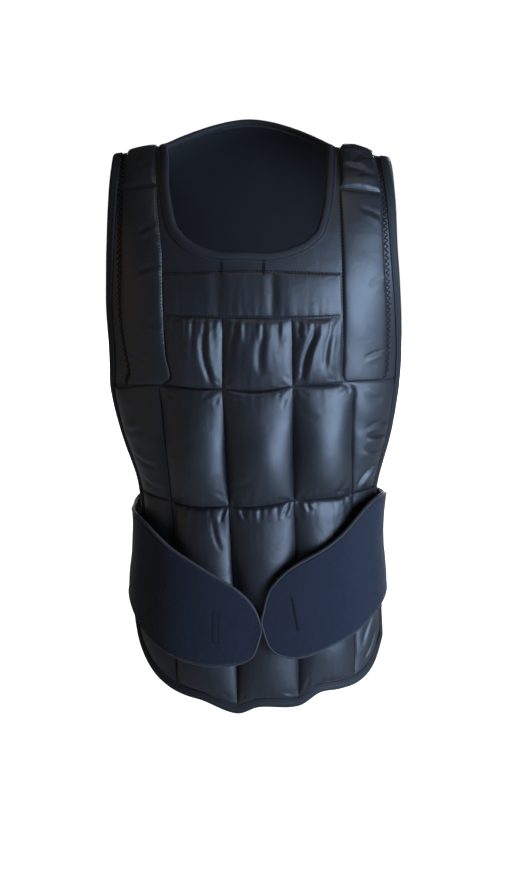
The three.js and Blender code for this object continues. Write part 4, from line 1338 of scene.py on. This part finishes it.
def levelLine(face, level, seams, offset=0.0, count=60):
    u = np.linspace(0.01, 0.99, count)
    down = levelDepth(face, level, u, *seams) + offset
    x = seamAt(face, seams[0], down) * (1 - u) + seamAt(face, seams[1], down) * u
    return raisedLine(x, down, np.full(count, face), needle)


def depthAt(face, level, seam):
    return float(levelDepth(face, level, np.array([0.0]), seam, seam)[0])


needle = 4.1  # height above the body from which the rows are dropped
strapFoot = {seam: depthAt(-1, "chest", seam) for seam in ("strapL", "outerL", "outerR", "strapR")}
for seam, offset in (("outerL", 1.6), ("outerR", -1.6)):
    low = strapFoot[seam] - 4
    sew(seamLine(-1, seam, vest["tabReach"], low))
    sew(seamLine(-1, seam, vest["tabReach"] + 3, low, -offset))
for seam in ("outerL", "innerL", "innerR", "outerR"):
    sew(seamLine(-1, seam, depthAt(-1, "chest", seam) + 4, depthAt(-1, "hem", seam) - 10))
for seam in ("innerL", "innerR"):
    sew(seamLine(-1, seam, depthAt(-1, "gathers", seam) + 1, depthAt(-1, "chest", seam) - 2))
for level, offset in (("band", 1.4), ("gathers", -1.5)):
    sew(levelLine(-1, level, ("outerL", "outerR")))
    sew(levelLine(-1, level, ("outerL", "outerR"), offset))
for level in ("chest", "waist"):
    sew(levelLine(-1, level, ("edgeL", "edgeR"), count=160))
    sew(levelLine(-1, level, ("edgeL", "edgeR"), -1.6, count=160))
for seam in ("outerL", "innerL", "innerR", "outerR"):
    sew(seamLine(1, seam, depthAt(1, "band", seam), depthAt(1, "hem", seam) - 10))
for level in ("band", "chest", "waist"):
    sew(levelLine(1, level, ("outerL", "outerR"), count=120))

# Close zigzag along the straps' outer seams, and the foot of the straps
zigzag = {"pitch": 3.0, "length": 6.4, "radius": 0.72, "sway": 0.2, "lean": 1.5}
for seam, offset in (("strapL", -2.6), ("strapR", 2.6)):
    low = strapFoot[seam] - 3
    sew(seamLine(-1, seam, 8, low, offset, 160), zigzag)
    sew(seamLine(-1, seam, vest["tabReach"], low, offset * 0.2))

# Bar tacks in the yoke, over the ends of the middle pockets
tack = {"places": [(-31, 120), (11, 120)], "length": 9, "rows": 3, "gap": 1.1}
tackStitch = {"pitch": 1.5, "length": 2.0, "radius": 0.4}
for left, top in tack["places"]:
    for row in range(tack["rows"]):
        down = np.linspace(top, top + tack["length"], 12)
        x = np.full(12, left + row * tack["gap"])
        sew(raisedLine(x, down, np.full(12, -1), needle), tackStitch)

# A row along the tapes
tapeStitch = {"pitch": 3.6, "length": 2.4, "radius": 0.34}
for x, down, face, dx, dd in (outerTape, neckTape):
    inset = tape["stitchIn"]
    line = raised(x + dx * inset, np.maximum(down + dd * inset, tape["least"]), face, tape["stitchHeight"])
    sew((closedLoop(line), closedLoop(bodyNormal(x, down, face))), tapeStitch)


# Marks sewn on the wings: a double bar on the right one and a box on the left one
def wingLine(outline, places, count=30):
    t = np.concatenate([np.linspace(a[0], b[0], count) for a, b in zip(places, places[1:])])
    f = np.concatenate([np.linspace(a[1], b[1], count) for a, b in zip(places, places[1:])])
    return wingPoint(outline, t, f, 0)


def wingShare(outline, degrees):
    tip, root = abs(outline[0][0]), abs(outline[-1][0])
    start = outline[0][0] * (1 if outline[-1][0] > outline[0][0] else -1)
    return ((abs(degrees) - start) / (root - start)) ** (1 / wings["tipPower"])


# degrees round the body and shares of the way from the wing's top to its bottom
marks = {"bar": [(19.2, 0.32), (22.2, 0.72)], "box": [(-18.4, 0.38), (-21.4, 0.74)]}
markStitches = {
    "bar": {"pitch": 1.6, "length": 2.6, "radius": 0.6, "sway": 0.8},
    "besideBar": {"pitch": 2.4, "length": 1.9, "radius": 0.4},
    "box": {"pitch": 2.6, "length": 2.0, "radius": 0.42},
}
bar = [(wingShare(rightWing, turn), f) for turn, f in marks["bar"]]
sew(wingLine(rightWing, bar), markStitches["bar"], wingSurface)
sew(wingLine(rightWing, [(t + 0.008, f) for t, f in bar]), markStitches["besideBar"], wingSurface)
(near, top), (far, bottom) = [(wingShare(leftWing, turn), f) for turn, f in marks["box"]]
box = [(near, top), (far, top), (far, bottom), (near, bottom), (near, top)]
sew(wingLine(leftWing, box), markStitches["box"], wingSurface)

stitchMesh.transform(Matrix.Scale(mm, 4))
stitches = addObject("seamStitches", toData("seamStitches", stitchMesh))
finishPiece(stitches, "binding", buildThread())
print(f"stage: stitches, {len(stitches.data.polygons)} faces")

# Floor and light
stage = {"floor": -0.95, "size": 40, "aim": (0, 0, -0.3), "roomGlow": 0.04}
# name, angle round, angle up, distance, width, height, power, colour
lights = [
    ("window", 51, -2, 2.2, 1.3, 1.4, 98, (0.5, 0.69, 1.0)),
    ("warmFill", -75, 0, 2.6, 1.0, 1.6, 2.6, (1.0, 0.7, 0.45)),
    ("overhead", 12, 62, 2.6, 1.0, 1.0, 8, (1.0, 0.97, 0.95)),
    ("backLight", 165, -5, 2.6, 1.8, 0.8, 42, (0.95, 0.97, 1.0)),
    ("rearFill", -165, -5, 2.6, 1.8, 0.8, 26, (1.0, 0.97, 0.93)),
]


def addLight(name, azimuth, elevation, distance, wide, tall, power, color):
    data = bpy.data.lights.new(name, "AREA")
    data.shape = "RECTANGLE"
    data.size = wide
    data.size_y = tall
    data.energy = power
    data.color = color
    addAimed(name, data, stage["aim"], azimuth, elevation, distance)


def addFloor():
    mesh = bmesh.new()
    bmesh.ops.create_grid(mesh, x_segments=1, y_segments=1, size=stage["size"] / 2)
    bmesh.ops.translate(mesh, verts=mesh.verts[:], vec=(0, 0, stage["floor"]))
    floor = addObject("floor", toData("floor", mesh))
    material, tree, shader = newMaterial("paleFloor", (0.5, 0.5, 0.5), 0.9)
    seen = tree.nodes.new("ShaderNodeLightPath").outputs["Is Camera Ray"]
    feed(tree, shader, {"Emission Color": (1, 1, 1, 1), "Emission Strength": seen})
    floor.data.materials.append(material)


# White behind the vest, dim light on it
def lightRoom():
    world = bpy.data.worlds.new("room")
    bpy.context.scene.world = world
    world.use_nodes = True
    tree = world.node_tree
    seen = tree.nodes.new("ShaderNodeLightPath").outputs["Is Camera Ray"]
    glow = math2(tree, "ADD", seen, stage["roomGlow"])
    feed(tree, tree.nodes["Background"], {"Color": (1, 1, 1, 1), "Strength": glow})


addFloor()
for light in lights:
    addLight(*light)
lightRoom()
bpy.context.scene.view_settings.view_transform = "Standard"
print("stage: light")
